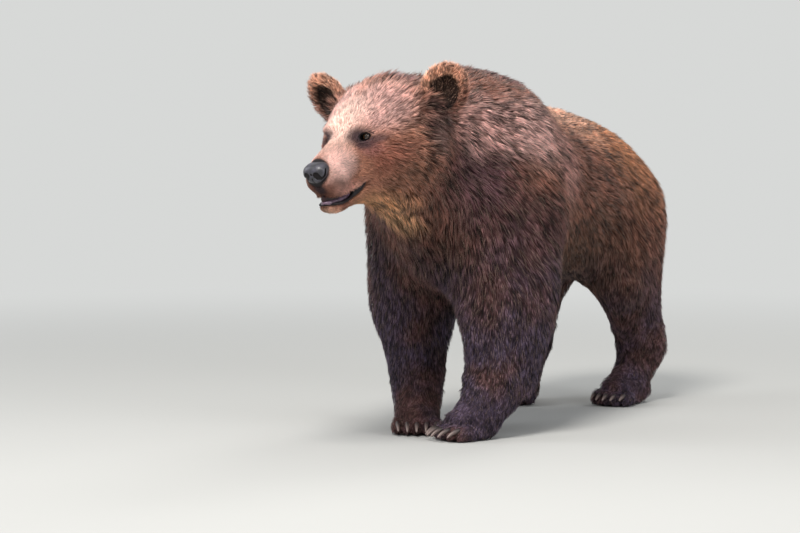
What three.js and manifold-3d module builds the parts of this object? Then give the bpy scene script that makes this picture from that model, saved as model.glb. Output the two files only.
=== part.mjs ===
// A brown bear at life size, standing on all four feet with its head turned a little to its right
// and its mouth slightly open. It is a still model: nothing moves.
//
// Millimetres, +Z up. The bear faces -Y, its left side is +X, and its soles stand on z = 0. The
// outline is that of the coat's tips. The whole body is one smooth skin round rounded masses of
// muscle, and thin saw cuts part it into head, muzzle, jaw, neck, trunk, tail and legs. Ears, eyes,
// nose, tongue and claws are shapes of their own, each set into a socket.
import * as THREE from "three";
import { mergeVertices } from "three/addons/utils/BufferGeometryUtils.js";
import Module from "manifold-3d";

const wasm = await Module();
wasm.setup();

// ---- Driving dimensions ---------------------------------------------------------------------

const HUMP_HEIGHT = 1034; // floor to the top of the shoulder hump
const BACK_HEIGHT = 890; // floor to the top of the loins
const CROUP_HEIGHT = 842; // floor to the top of the hindquarters
const CHEST_FLOOR = 405; // floor to the underside of the chest
const BELLY_FLOOR = 380; // floor to the hanging belly
const TRUNK_HALF_WIDTH = 245; // at the belly
const RUMP_REACH = 1120; // hump centre back to the end of the rump
const EYES = [-70, -660, 826]; // the point midway between the eyes, origin of the head's frame
const HEAD_YAW = -0.2; // radians, turned to the bear's right
const HEAD_PITCH = 0.14; // radians, nose down
const HEAD_ROLL = -0.07; // radians, right side lower
const EYE = { spread: 53, depth: 8, radius: 13 }; // spread is half the distance between centres
const ORBIT = { spread: 59, depth: -6, turn: 0.46 }; // the hollow that an eye looks out of
const NOSE = { front: -178, height: -66, halfWidth: 34, radius: 27 };
const EAR = { halfWidth: 65, halfHeight: 78, halfThickness: 27, hollow: 36 };
const EAR_YAW = { left: 0.42, right: -0.18 }; // radians, the way each ear is turned
const MOUTH = { corner: [-8, -112], lip: -131, opening: 15 }; // y and z in the head's frame
const KERF = 0.4; // width of a saw cut, and the slack of a socket

// ---- Masses: functions that give a point's distance from a rounded form ----------------------

const ellipsoid =
  ([cx, cy, cz], [rx, ry, rz]) =>
  (x, y, z) => {
    const [ax, ay, az] = [(x - cx) / rx, (y - cy) / ry, (z - cz) / rz];
    const reach = Math.hypot(ax, ay, az);
    const slope = Math.hypot(ax / rx, ay / ry, az / rz);
    return slope === 0 ? -Math.min(rx, ry, rz) : (reach * (reach - 1)) / slope;
  };

// A limb between two joints, whose radius runs evenly from one to the other. squeeze above 1
// makes it thinner along X.
const limb =
  (from, to, fromRadius, toRadius, squeeze = 1) =>
  (x, y, z) => {
    const [dx, dy, dz] = [to[0] - from[0], to[1] - from[1], to[2] - from[2]];
    const along = (x - from[0]) * dx + (y - from[1]) * dy + (z - from[2]) * dz;
    const t = THREE.MathUtils.clamp(along / (dx * dx + dy * dy + dz * dz), 0, 1);
    const offset = Math.hypot(
      (x - from[0] - t * dx) * squeeze,
      y - from[1] - t * dy,
      z - from[2] - t * dz,
    );
    return offset - THREE.MathUtils.lerp(fromRadius, toRadius, t);
  };

// Several masses as one, with the hollows between them filled over the given reach.
const blend =
  (reach, ...masses) =>
  (x, y, z) =>
    masses
      .map((mass) => mass(x, y, z))
      .reduce((a, b) => {
        const overlap = Math.max(reach - Math.abs(a - b), 0) / reach;
        return Math.min(a, b) - (overlap * overlap * reach) / 4;
      });

const bothSides = (mass) => (x, y, z) => mass(Math.abs(x), y, z);

// The same mass, moved from its own frame to where the matrix puts that frame.
const placed = (matrix, mass) => {
  const e = matrix.clone().invert().elements;
  return (x, y, z) =>
    mass(
      e[0] * x + e[4] * y + e[8] * z + e[12],
      e[1] * x + e[5] * y + e[9] * z + e[13],
      e[2] * x + e[6] * y + e[10] * z + e[14],
    );
};

// ---- Frames ----------------------------------------------------------------------------------

const frameAt = ([x, y, z], yaw = 0, pitch = 0, roll = 0) =>
  new THREE.Matrix4()
    .makeRotationFromEuler(new THREE.Euler(pitch, roll, yaw, "ZXY"))
    .setPosition(x, y, z);

const headFrame = frameAt(EYES, HEAD_YAW, HEAD_PITCH, HEAD_ROLL);
const inBody = (point) =>
  new THREE.Vector3(...point).applyMatrix4(headFrame).toArray();

// ---- Trunk and neck --------------------------------------------------------------------------

const trunkMass = blend(
  80,
  ellipsoid(
    [0, 170, (CHEST_FLOOR + BACK_HEIGHT) / 2],
    [222, 380, (BACK_HEIGHT - CHEST_FLOOR) / 2],
  ), // ribs
  ellipsoid(
    [0, 510, (BELLY_FLOOR + BACK_HEIGHT) / 2],
    [TRUNK_HALF_WIDTH, 330, (BACK_HEIGHT - BELLY_FLOOR) / 2],
  ), // belly
  ellipsoid([0, RUMP_REACH - 305, CROUP_HEIGHT - 213], [148, 265, 210]), // pelvis
  bothSides(ellipsoid([108, RUMP_REACH - 215, 520], [112, 195, 180])), // buttocks
  ellipsoid([0, 65, HUMP_HEIGHT - 188], [110, 220, 172]), // shoulder hump
  bothSides(ellipsoid([132, 0, 684], [108, 185, 225])), // shoulder blades
  ellipsoid([0, -115, 565], [135, 140, 175]), // brisket
);
const neckMass = blend(
  70,
  limb([0, -10, 765], inBody([0, 196, 12]), 212, 126),
  limb([-14, -174, 612], inBody([0, 130, -94]), 156, 98),
);
const tailMass = limb([0, RUMP_REACH - 45, 705], [0, RUMP_REACH + 10, 622], 42, 28);

// ---- Head, in its own frame: origin between the eyes, nose along -Y ---------------------------

const headMass = blend(
  26,
  ellipsoid([0, 112, 4], [112, 132, 98]), // braincase and scalp
  ellipsoid([0, 38, 16], [70, 62, 50]), // forehead
  bothSides(ellipsoid([45, 6, 18], [27, 24, 18])), // brows
  bothSides(ellipsoid([66, 92, -52], [66, 96, 78])), // cheeks
  bothSides(ellipsoid([80, 165, -70], [78, 88, 76])), // ruff behind the cheeks
  bothSides(ellipsoid([122, 186, 44], [44, 46, 46])), // roots of the ears
  limb([0, -10, -44], [0, -118, -76], 55, 42), // muzzle
  limb([0, 16, -16], [0, -128, -56], 38, 24), // bridge of the nose
  bothSides(ellipsoid([21, -112, -92], [26, 42, 30])), // whisker pads
);
const jawMass = blend(
  30,
  limb([0, 40, -122], [0, -98, -150], 52, 25),
  bothSides(ellipsoid([17, -104, -150], [19, 28, 23])), // chin
);
const faceMass = blend(26, headMass, jawMass);

// ---- Legs ------------------------------------------------------------------------------------

// A foreleg is turned inwards with its paw, and a fringe of long hair runs down its back.
// Its girth is what it is thicker by at the elbow, and half as much at the wrist.
const frontLegs = {
  front_left: {
    side: 1,
    shoulder: [150, -40, 620],
    elbow: [106, -92, 384],
    paw: [86, -195],
    yaw: -0.55,
    girth: 28,
    fringe: 112,
  },
  front_right: {
    side: -1,
    shoulder: [-174, -26, 620],
    elbow: [-184, 24, 384],
    paw: [-118, -105],
    yaw: 0.4,
    girth: 14,
    fringe: 96,
  },
};
const hindLegs = {
  hind_left: {
    side: 1,
    hip: [120, 840, 560],
    knee: [162, 690, 415],
    paw: [150, 825],
    yaw: -0.15,
  },
  hind_right: {
    side: -1,
    hip: [-120, 820, 560],
    knee: [-165, 630, 415],
    paw: [-155, 735],
    yaw: 0.15,
  },
};
const WRIST = { back: 62, height: 122 };
const HOCK = { back: 112, height: 165 };

const FRONT_PAW = { toes: -78, spacing: 27, clawLength: 60, heel: 60, width: 60 };
const HIND_PAW = { toes: -88, spacing: 25, clawLength: 42, heel: 110, width: 54 };

const pawFrame = (leg) => frameAt([...leg.paw, 0], leg.yaw);
const behindPaw = (leg, { back, height }) =>
  new THREE.Vector3(0, back, height).applyMatrix4(pawFrame(leg)).toArray();
const pawMass = ({ toes, heel, width }) =>
  blend(
    30,
    ellipsoid([0, toes + 48, 36], [width + 6, 66, 44]),
    ellipsoid([0, heel - 52, 34], [width - 6, 60, 42]),
  );

const frontLegMass = (leg) => {
  const wrist = behindPaw(leg, WRIST);
  const back = new THREE.Vector3(0, 1, 0).transformDirection(pawFrame(leg));
  const fringe = (point, reach, height) => [
    point[0] + back.x * reach,
    point[1] + back.y * reach,
    point[2] + height,
  ];
  return blend(
    45,
    ellipsoid(leg.shoulder, [98, 150, 190]),
    limb(leg.shoulder, leg.elbow, 124, 120 + leg.girth),
    limb(leg.elbow, wrist, 119 + leg.girth, 59 + 0.5 * leg.girth),
    limb(fringe(leg.elbow, leg.fringe, -20), fringe(wrist, 88, 35), 80 + leg.girth, 48 + 0.5 * leg.girth),
    limb(wrist, [...leg.paw, 48], 56, 46),
    placed(pawFrame(leg), pawMass(FRONT_PAW)),
  );
};
const hindLegMass = (leg) => {
  const hock = behindPaw(leg, HOCK);
  return blend(
    45,
    ellipsoid(leg.hip, [106, 190, 180]),
    limb(leg.hip, leg.knee, 125, 100, 1.1),
    limb([leg.hip[0], leg.hip[1] + 95, 470], hock, 112, 64, 1.1),
    limb(leg.knee, hock, 100, 60, 1.1),
    limb(hock, [...leg.paw, 52], 58, 48),
    placed(pawFrame(leg), pawMass(HIND_PAW)),
  );
};

const legMasses = [
  ...Object.values(frontLegs).map(frontLegMass),
  ...Object.values(hindLegs).map(hindLegMass),
];
const wholeMass = blend(
  55,
  blend(70, trunkMass, neckMass, placed(headFrame, faceMass)),
  blend(20, tailMass, ...legMasses),
);

// ---- Skin: a closed mesh round a mass ---------------------------------------------------------

// Moves a point along the mass's slope onto its surface.
function settle(mass, point) {
  const nudge = 0.5;
  for (let pass = 0; pass < 3; pass++) {
    const distance = mass(...point);
    const slope = [0, 1, 2].map((axis) => {
      const beside = [...point];
      beside[axis] += nudge;
      return (mass(...beside) - distance) / nudge;
    });
    const steepness = Math.max(slope[0] ** 2 + slope[1] ** 2 + slope[2] ** 2, 0.05);
    point = point.map((value, axis) => value - (distance * slope[axis]) / steepness);
  }
  return point;
}

// The mass's surface inside a box, as a grid of quads: one vertex in each cell of the grid that
// the surface passes through, and one quad round each grid line that it crosses.
function wrap(mass, low, high, step) {
  const count = low.map((v, axis) => Math.ceil((high[axis] - v) / step[axis]) + 1);
  const stride = [1, count[0], count[0] * count[1]];
  const place = (axis, i) => low[axis] + i * step[axis];
  const isRim = (i, axis) => i === 0 || i === count[axis] - 1;
  const value = new Float32Array(count[0] * count[1] * count[2]);
  for (let k = 0, n = 0; k < count[2]; k++)
    for (let j = 0; j < count[1]; j++)
      for (let i = 0; i < count[0]; i++, n++) {
        const outside = isRim(i, 0) || isRim(j, 1) || isRim(k, 2);
        const distance = mass(place(0, i), place(1, j), place(2, k)) || 1e-3;
        value[n] = outside ? Math.max(distance, Math.min(...step) / 2) : distance;
      }
  const corners = [...Array(8).keys()].map((c) => [c & 1, (c >> 1) & 1, c >> 2]);
  const sides = corners.flatMap((from, a) =>
    [1, 2, 4].filter((bit) => !(a & bit)).map((bit) => [from, corners[a | bit]]),
  );
  const vertexOf = new Map();
  const positions = [];
  for (let k = 0; k < count[2] - 1; k++)
    for (let j = 0; j < count[1] - 1; j++)
      for (let i = 0; i < count[0] - 1; i++) {
        const at = ([a, b, c]) => (i + a) + (j + b) * stride[1] + (k + c) * stride[2];
        const sum = [0, 0, 0];
        let crossings = 0;
        for (const [from, to] of sides) {
          const [a, b] = [value[at(from)], value[at(to)]];
          if (a < 0 === b < 0) continue;
          const t = a / (a - b);
          from.forEach((v, axis) => (sum[axis] += v + t * (to[axis] - v)));
          crossings++;
        }
        if (!crossings) continue;
        const middle = [i, j, k].map((v, axis) => place(axis, v + sum[axis] / crossings));
        const atRim = [i, j, k].some((v, axis) => v === 0 || v === count[axis] - 2);
        vertexOf.set(at([0, 0, 0]), positions.length / 3);
        positions.push(...(atRim ? middle : settle(mass, middle)));
      }
  const triangles = [];
  const gap = (a, b) =>
    Math.hypot(...[0, 1, 2].map((c) => positions[3 * a + c] - positions[3 * b + c]));
  for (let axis = 0; axis < 3; axis++) {
    const [u, v] = [stride[(axis + 1) % 3], stride[(axis + 2) % 3]];
    for (let n = 0; n + stride[axis] < value.length; n++) {
      if (value[n] < 0 === value[n + stride[axis]] < 0) continue;
      const ring = [n - u - v, n - v, n, n - u].map((cell) => vertexOf.get(cell));
      if (ring.includes(undefined)) continue;
      const [a, b, c, d] = value[n] < 0 ? ring : ring.reverse();
      triangles.push(...(gap(a, c) < gap(b, d) ? [a, b, c, a, c, d] : [a, b, d, b, c, d]));
    }
  }
  return new THREE.BufferGeometry()
    .setAttribute("position", new THREE.Float32BufferAttribute(positions, 3))
    .setIndex(triangles);
}

// ---- Solids ----------------------------------------------------------------------------------

function solidOf(geometry, matrix = new THREE.Matrix4()) {
  const bare = geometry.clone().applyMatrix4(matrix);
  bare.deleteAttribute("normal");
  bare.deleteAttribute("uv");
  const merged = mergeVertices(bare, 1e-3);
  const vertProperties = new Float32Array(merged.attributes.position.array);
  const triVerts = new Uint32Array(merged.index.array);
  return new wasm.Manifold(new wasm.Mesh({ numProp: 3, vertProperties, triVerts }));
}

function geometryOf(solid) {
  const { vertProperties, triVerts } = solid.getMesh();
  return new THREE.BufferGeometry()
    .setAttribute("position", new THREE.BufferAttribute(vertProperties, 3))
    .setIndex(new THREE.BufferAttribute(triVerts, 1));
}

// All of space on one side of a plane, held back from it by the given margin. The direction
// points into it.
function beyond([point, direction], { margin = KERF / 2, frame = new THREE.Matrix4() } = {}) {
  const size = 4000;
  const into = new THREE.Vector3(...direction).normalize();
  const turn = new THREE.Quaternion().setFromUnitVectors(new THREE.Vector3(0, 0, 1), into);
  const middle = new THREE.Vector3(...point).addScaledVector(into, size / 2 + margin);
  const block = new THREE.Matrix4().compose(middle, turn, new THREE.Vector3(1, 1, 1));
  return solidOf(new THREE.BoxGeometry(size, size, size), block.premultiply(frame));
}
const otherSide = ([point, direction]) => [point, direction.map((value) => -value)];

// Every vertex of a three.js shape moved by a function of its place.
function reshape(geometry, move) {
  const position = geometry.attributes.position;
  for (let i = 0; i < position.count; i++)
    position.setXYZ(i, ...move(position.getX(i), position.getY(i), position.getZ(i)));
  return geometry;
}

// ---- Small shapes, each in a frame of its own --------------------------------------------------
// Each can be made larger by some slack, to cut its own socket.

// An ear stands along +Z from its root, with its hollow towards -Y.
const earShape = (slack = 0) =>
  reshape(new THREE.SphereGeometry(1, 11, 8), (x, y, z) => {
    const dish = Math.max(0, 1 - (x * x + z * z) / 0.6);
    const depth = y < 0 ? EAR.hollow * dish - slack : 6 * dish + slack;
    return [
      x * (EAR.halfWidth + slack),
      y * EAR.halfThickness + depth,
      z * (EAR.halfHeight + slack) + EAR.halfHeight * 0.62,
    ];
  });

// The nose pad is a rounded block, broader above than below.
const noseShape = (slack = 0) =>
  reshape(new THREE.SphereGeometry(1, 10, 8), (x, y, z) => {
    const square = (v) => Math.sign(v) * Math.abs(v) ** 0.8;
    return [
      square(x) * (NOSE.halfWidth + slack) * (1 + 0.16 * z),
      square(y) * (NOSE.radius + slack),
      square(z) * (NOSE.radius + slack),
    ];
  });

// A claw grows from the origin along -Y and bends down to its point.
const clawShape = (length, slack = 0) => {
  const bend = 1.05; // radians
  const radius = length / bend;
  return reshape(new THREE.ConeGeometry(1, 1, 4, 2), (x, y, z) => {
    const turn = (y + 0.5) * bend;
    const lift = z * (9 + slack);
    return [
      -x * (7 + slack),
      -(radius + lift * 0.6) * Math.sin(turn) - 2 * y * slack,
      -radius * (1 - Math.cos(turn)) + lift * Math.cos(turn),
    ];
  });
};

const eyeShape = (slack = 0) => new THREE.SphereGeometry(EYE.radius + slack, 8, 6);
const orbitShape = () => new THREE.SphereGeometry(1, 7, 5).scale(19, 11, 12);

// The tongue lies in the jaw, its tip behind the lower lip.
const tongueShape = (slack = 0) =>
  reshape(new THREE.SphereGeometry(1, 8, 6), (x, y, z) => [
    x * (25 + slack),
    y * (62 + slack),
    z * (10 + slack) - 6 * y * y,
  ]);

// ---- The head's parts ---------------------------------------------------------------------------

// Everything under the line of the lips: its side view, drawn across the whole head. The line
// runs back to the corner of the mouth, and lies lower by the given drop at the front.
function underLips(drop) {
  const [cornerY, cornerZ] = MOUTH.corner;
  const lip = MOUTH.lip - drop;
  const outline = new THREE.Shape();
  outline.moveTo(-260, lip);
  outline.lineTo(-150, lip);
  outline.bezierCurveTo(-110, lip - 10, -30, lip - 4 + 0.2 * drop, cornerY, cornerZ - 0.02 * drop);
  outline.lineTo(cornerY + 34, -215);
  outline.lineTo(-260, -215);
  const slab = new THREE.ExtrudeGeometry(outline, {
    depth: 400,
    bevelEnabled: false,
    curveSegments: 6,
  });
  // The outline's plane is the head's plane of symmetry.
  return solidOf(slab.translate(0, 0, -200).applyMatrix4(new THREE.Matrix4().set(
    0, 0, 1, 0,
    1, 0, 0, 0,
    0, 1, 0, 0,
    0, 0, 0, 1,
  )));
}

const inHead = placed(headFrame.clone().invert(), wholeMass);
const MUZZLE_CUT = [[0, -36, -60], [0, -1, 0.25]];
const NAPE_CUT = [[0, 248, 0], [0, -1, 0.1]];

const nosePlace = frameAt([0, NOSE.front + NOSE.radius, NOSE.height], 0, 0.16);
const tonguePlace = frameAt([0, -70, -151], 0, 0.06);
const earPlace = (side) =>
  frameAt([side * 160, 192, 42], side > 0 ? EAR_YAW.left : EAR_YAW.right, 0.22, side * 0.52);
const eyePlace = (side) => frameAt([side * EYE.spread, EYE.depth, 0]);
const orbitPlace = (side) => frameAt([side * ORBIT.spread, ORBIT.depth, 0], side * ORBIT.turn);

const sockets = [1, -1]
  .map((side) =>
    solidOf(earShape(KERF), earPlace(side))
      .add(solidOf(eyeShape(KERF), eyePlace(side)))
      .add(solidOf(orbitShape(), orbitPlace(side))),
  )
  .reduce((a, b) => a.add(b));

const headSolid = solidOf(wrap(inHead, [-210, -115, -240], [210, 310, 160], [35, 36, 35]))
  .intersect(beyond(otherSide(MUZZLE_CUT)))
  .intersect(beyond(NAPE_CUT))
  .subtract(underLips(0))
  .subtract(sockets);
const muzzleSolid = solidOf(wrap(inHead, [-100, -200, -200], [100, 25, 60], [20, 20, 18]))
  .intersect(beyond(MUZZLE_CUT))
  .subtract(underLips(0))
  .subtract(solidOf(noseShape(KERF), nosePlace))
  .subtract(sockets);
const jawSolid = solidOf(wrap(inHead, [-110, -170, -225], [110, 75, -70], [22, 24, 20]))
  .intersect(underLips(MOUTH.opening))
  .subtract(solidOf(tongueShape(KERF), tonguePlace));

// ---- The model ----------------------------------------------------------------------------------

const bear = new THREE.Group();

const coat = (color) => new THREE.MeshStandardMaterial({ color, roughness: 0.85, metalness: 0 });
const materials = {
  tan: coat(0x9c6f4a),
  brown: coat(0x5a3c2a),
  ginger: coat(0x7c4f2c),
  dark: coat(0x33241f),
  nose: new THREE.MeshStandardMaterial({ color: 0x2a2730, roughness: 0.45 }),
  eye: new THREE.MeshStandardMaterial({ color: 0x2b1a0e, roughness: 0.1 }),
  claw: new THREE.MeshStandardMaterial({ color: 0x3c322c, roughness: 0.4 }),
  tongue: new THREE.MeshStandardMaterial({ color: 0x6d4c5e, roughness: 0.35 }),
};

function add(parent, name, solid, material) {
  const mesh = new THREE.Mesh(geometryOf(solid), material);
  mesh.name = name;
  parent.add(mesh);
  return mesh;
}

function groupAt(parent, matrix) {
  const group = new THREE.Group();
  group.applyMatrix4(matrix);
  parent.add(group);
  return group;
}

const headGroup = groupAt(bear, headFrame);
add(headGroup, "head", headSolid, materials.tan);
add(headGroup, "muzzle", muzzleSolid, materials.tan);
add(headGroup, "lower_jaw", jawSolid, materials.tan);
add(groupAt(headGroup, nosePlace), "nose", solidOf(noseShape()), materials.nose);
add(groupAt(headGroup, tonguePlace), "tongue", solidOf(tongueShape()), materials.tongue);
for (const [word, side] of [["left", 1], ["right", -1]]) {
  add(groupAt(headGroup, earPlace(side)), `${word}_ear`, solidOf(earShape()), materials.brown);
  add(groupAt(headGroup, eyePlace(side)), `${word}_eye`, solidOf(eyeShape()), materials.eye);
}

// The neck runs from the nape to a slanted cut in front of the shoulders.
const SHOULDER_CUT = [[0, -215, 760], [-0.05, -1, 0.42]];
add(
  bear,
  "neck",
  solidOf(wrap(wholeMass, [-330, -620, 380], [230, -60, 1070], [66, 62, 62]))
    .intersect(beyond(SHOULDER_CUT))
    .intersect(beyond(otherSide(NAPE_CUT), { frame: headFrame })),
  materials.brown,
);

// A leg's share of the body lies outside a plane that rises from the armpit or groin, and
// between two more planes, in front of the leg and behind it.
const FRONT_SHARE = { inner: [92, 405], front: -420, back: 175 };
const HIND_SHARE = { inner: [80, 420], front: 500, back: 1300 };
const legShare = (side, { inner, front, back }, margin) =>
  [
    [[side * inner[0], 0, inner[1]], [side * 0.82, 0, -0.57]],
    [[0, front, 480], [0, 1, 0.15]],
    [[0, back, 480], [0, -1, -0.1]],
  ]
    .map((plane) => beyond(plane, { margin }))
    .reduce((a, b) => a.intersect(b));

// The tail's share is a block set into the rump.
const tailShare = (slack) => {
  const block = new THREE.BoxGeometry(124 + 2 * slack, 200 + 2 * slack, 150 + 2 * slack);
  return solidOf(block, frameAt([0, RUMP_REACH + 42, 660], 0, -0.1));
};

const trunkSolid = [1, -1].reduce(
  (solid, side) =>
    solid
      .subtract(legShare(side, FRONT_SHARE, -KERF / 2))
      .subtract(legShare(side, HIND_SHARE, -KERF / 2)),
  solidOf(wrap(wholeMass, [-330, -350, 335], [330, 1210, 1090], [74, 80, 68]))
    .intersect(beyond(otherSide(SHOULDER_CUT)))
    .subtract(tailShare(KERF)),
);
add(bear, "trunk", trunkSolid, materials.brown);
add(
  bear,
  "tail",
  solidOf(wrap(wholeMass, [-90, RUMP_REACH - 80, 540], [90, RUMP_REACH + 60, 770], [36, 36, 40]))
    .intersect(tailShare(0)),
  materials.ginger,
);

// A leg is cut across at the elbow or knee, and at the wrist or hock.
function addLeg(name, leg, { share, parts, joint, ankle, paw, reach }) {
  const jointCut = [[0, joint.at[1], joint.at[2] - joint.drop], joint.down];
  const ankleCut = [behindPaw(leg, ankle), [0, -0.3, -1]];
  const low = [leg.side > 0 ? 10 : -330, reach[0], 20];
  const high = [leg.side > 0 ? 330 : -10, reach[1], 840];
  const length = (step) =>
    solidOf(wrap(wholeMass, low, high, step)).intersect(legShare(leg.side, share, KERF / 2));
  add(
    bear,
    `${name}_${parts[0]}`,
    length([64, 66, 68])
      .intersect(beyond(otherSide(SHOULDER_CUT)))
      .intersect(beyond(otherSide(jointCut))),
    materials.brown,
  );
  add(
    bear,
    `${name}_${parts[1]}`,
    length([56, 60, 70]).intersect(beyond(jointCut)).intersect(beyond(otherSide(ankleCut))),
    materials.dark,
  );
  addPaw(name, leg, ankle, ankleCut, paw);
}

// A paw has a flat sole, five rounded toes in an arc, and a claw set into each.
function addPaw(name, leg, ankle, ankleCut, { toes, spacing, heel, clawLength }) {
  const frame = pawFrame(leg);
  const intoPaw = frame.clone().invert();
  const group = groupAt(bear, frame);
  let solid = solidOf(
    wrap(
      placed(intoPaw, wholeMass),
      [-118, toes - 60, -50],
      [118, heel + 90, ankle.height + 80],
      [48, 46, 46],
    ),
  )
    .intersect(beyond(ankleCut, { frame: intoPaw }))
    .intersect(beyond([[0, 0, 0], [0, 0, 1]], { margin: 0 }));
  const toeList = [-2, -1, 0, 1, 2].map((i) => ({ x: i * spacing, y: toes + 4.5 * i * i, i }));
  for (const { x, y } of toeList) {
    const toe = reshape(new THREE.SphereGeometry(1, 6, 4), (a, b, c) => [
      x + a * 17,
      y + b * 35,
      Math.max(21 + c * 30, 0),
    ]);
    solid = solid.add(solidOf(toe));
  }
  for (const { x, y, i } of toeList) {
    const root = frameAt([x, y - 22, 34], -i * 0.05);
    solid = solid.subtract(solidOf(clawShape(clawLength, KERF), root));
    const claw = solidOf(clawShape(clawLength));
    add(groupAt(group, root), `${name}_claw_${i + 3}`, claw, materials.claw);
  }
  add(group, `${name}_paw`, solid, materials.dark);
}

for (const [name, leg] of Object.entries(frontLegs))
  addLeg(name, leg, {
    share: FRONT_SHARE,
    parts: ["upper_leg", "forearm"],
    joint: { at: leg.elbow, drop: 25, down: [0, -0.25, -1] },
    ankle: WRIST,
    paw: FRONT_PAW,
    reach: [-400, 250],
  });
for (const [name, leg] of Object.entries(hindLegs))
  addLeg(name, leg, {
    share: HIND_SHARE,
    parts: ["thigh", "shank"],
    joint: { at: leg.knee, drop: 50, down: [0, 0.35, -1] },
    ankle: HOCK,
    paw: HIND_PAW,
    reach: [400, 1190],
  });

// The origin is on the floor, under the middle of the whole bear.
const middle = new THREE.Box3().setFromObject(bear).getCenter(new THREE.Vector3());
bear.position.set(-middle.x, -middle.y, 0);

export default bear;
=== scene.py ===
import math

import bmesh
import bpy
import numpy as np
from mathutils import Matrix, Vector
from mathutils.bvhtree import BVHTree
from mathutils.kdtree import KDTree


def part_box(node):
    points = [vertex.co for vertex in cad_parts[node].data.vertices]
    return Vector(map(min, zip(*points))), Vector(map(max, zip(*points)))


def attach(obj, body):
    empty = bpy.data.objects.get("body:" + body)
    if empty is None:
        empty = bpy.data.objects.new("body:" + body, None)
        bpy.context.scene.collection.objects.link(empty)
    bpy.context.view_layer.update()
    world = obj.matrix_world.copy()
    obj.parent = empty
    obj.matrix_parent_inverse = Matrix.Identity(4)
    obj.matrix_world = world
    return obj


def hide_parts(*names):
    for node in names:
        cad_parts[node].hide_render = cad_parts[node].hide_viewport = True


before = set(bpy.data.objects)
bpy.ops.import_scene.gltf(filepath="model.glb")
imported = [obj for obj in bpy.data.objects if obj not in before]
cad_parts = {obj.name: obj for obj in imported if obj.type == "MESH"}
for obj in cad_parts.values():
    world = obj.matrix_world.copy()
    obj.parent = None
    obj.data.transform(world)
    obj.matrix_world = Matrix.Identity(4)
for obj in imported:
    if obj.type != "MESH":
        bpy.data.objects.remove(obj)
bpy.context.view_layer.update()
MM = 0.001

# ---- Camera --------------------------------------------------------------------------------------
# The bear is seen from its front left, with the eye at the height of its head, through a long
# lens.

CAMERA_AZIMUTH = math.radians(24)
CAMERA_DISTANCE = 9.0
CAMERA_HEIGHT = 1.034
CAMERA_LENS = 146.6  # millimetres, on a sensor 36 wide
AIM = Vector((-0.1567, -0.2366, 0.455))

camera = bpy.data.objects.new("camera", bpy.data.cameras.new("camera"))
camera.data.lens = CAMERA_LENS
camera.data.sensor_width = 36
camera.location = AIM + CAMERA_DISTANCE * Vector(
    (math.sin(CAMERA_AZIMUTH), -math.cos(CAMERA_AZIMUTH), 0)
)
camera.location.z = CAMERA_HEIGHT
camera.rotation_euler = (AIM - camera.location).to_track_quat("-Z", "Y").to_euler()
bpy.context.scene.collection.objects.link(camera)
bpy.context.scene.camera = camera
bpy.context.scene.view_settings.view_transform = "Standard"

# ---- Studio --------------------------------------------------------------------------------------
# A pale floor without an edge, a broad lamp above and in front, a weaker one on the other side,
# and an even sky. Far from the bear the floor takes the colour of the background.

BACKGROUND = (0.68, 0.69, 0.68, 1)
FLOOR_COLOUR = (0.71, 0.71, 0.70)
FLOOR_RADIUS = 40
FLOOR_CLEAR = (1.5, 5.5)  # the floor fades into the background between these distances


class Wire:
    """A value in a material's node tree. Sums of wires add the nodes that work them out."""

    def __init__(self, tree, socket):
        self.tree = tree
        self.socket = socket

    def node(self, kind, values, output=0, **settings):
        made = self.tree.nodes.new(kind)
        for name, value in settings.items():
            setattr(made, name, value)
        for key, value in values.items():
            if isinstance(value, Wire):
                self.tree.links.new(value.socket, made.inputs[key])
            else:
                made.inputs[key].default_value = value
        return Wire(self.tree, made.outputs[output])

    def maths(self, operation, a, b=0.0, clamp=False):
        return self.node("ShaderNodeMath", {0: a, 1: b}, operation=operation, use_clamp=clamp)

    def __add__(self, other):
        return self.maths("ADD", self, other)

    def __sub__(self, other):
        return self.maths("SUBTRACT", self, other)

    def __rsub__(self, other):
        return self.maths("SUBTRACT", other, self)

    def __mul__(self, other):
        return self.maths("MULTIPLY", self, other)

    __radd__ = __add__
    __rmul__ = __mul__

    def clamped(self):
        return self.maths("ADD", self, 0.0, clamp=True)

    def at_most(self, most):
        return self.maths("MINIMUM", self, most)

    def step(self, low, high):
        """A smooth step from 0 at low to 1 at high."""
        values = {"Value": self, "From Min": low, "From Max": high}
        return self.node("ShaderNodeMapRange", values, interpolation_type="SMOOTHSTEP")

    def mix(self, factor, a, b, blend="MIX"):
        """The colours a and b, mixed by a factor."""
        values = {0: factor, 6: a, 7: b}
        return self.node("ShaderNodeMix", values, output=2, data_type="RGBA", blend_type=blend)

    def noise(self, scale, detail=3.0, roughness=0.5):
        values = {"Vector": self, "Scale": scale, "Detail": detail, "Roughness": roughness}
        return self.node("ShaderNodeTexNoise", values)

    def attribute(self, name, output="Fac"):
        """A value that is kept on the mesh."""
        return self.node("ShaderNodeAttribute", {}, output=output, attribute_name=name)

    def object_place(self):
        return self.node("ShaderNodeTexCoord", {}, output="Object")


def material(name):
    """A new material, its principled shader, and a wire to start its node tree from."""
    made = bpy.data.materials.new(name)
    made.use_nodes = True
    tree = made.node_tree
    return made, tree.nodes["Principled BSDF"], Wire(tree, None)


def connect(wire, shader, socket):
    wire.tree.links.new(wire.socket, shader.inputs[socket])


def set_sockets(shader, values):
    for socket, value in values.items():
        shader.inputs[socket].default_value = value


def linear(red, green, blue):
    """A colour as it is seen, as the linear values that a shader takes."""
    seen = (red, green, blue)
    return tuple(((v + 0.055) / 1.055) ** 2.4 if v > 0.04 else v / 12.92 for v in seen) + (1,)


def make_object(name, mesh):
    made = bpy.data.objects.new(name, mesh)
    bpy.context.scene.collection.objects.link(made)
    return made


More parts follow.
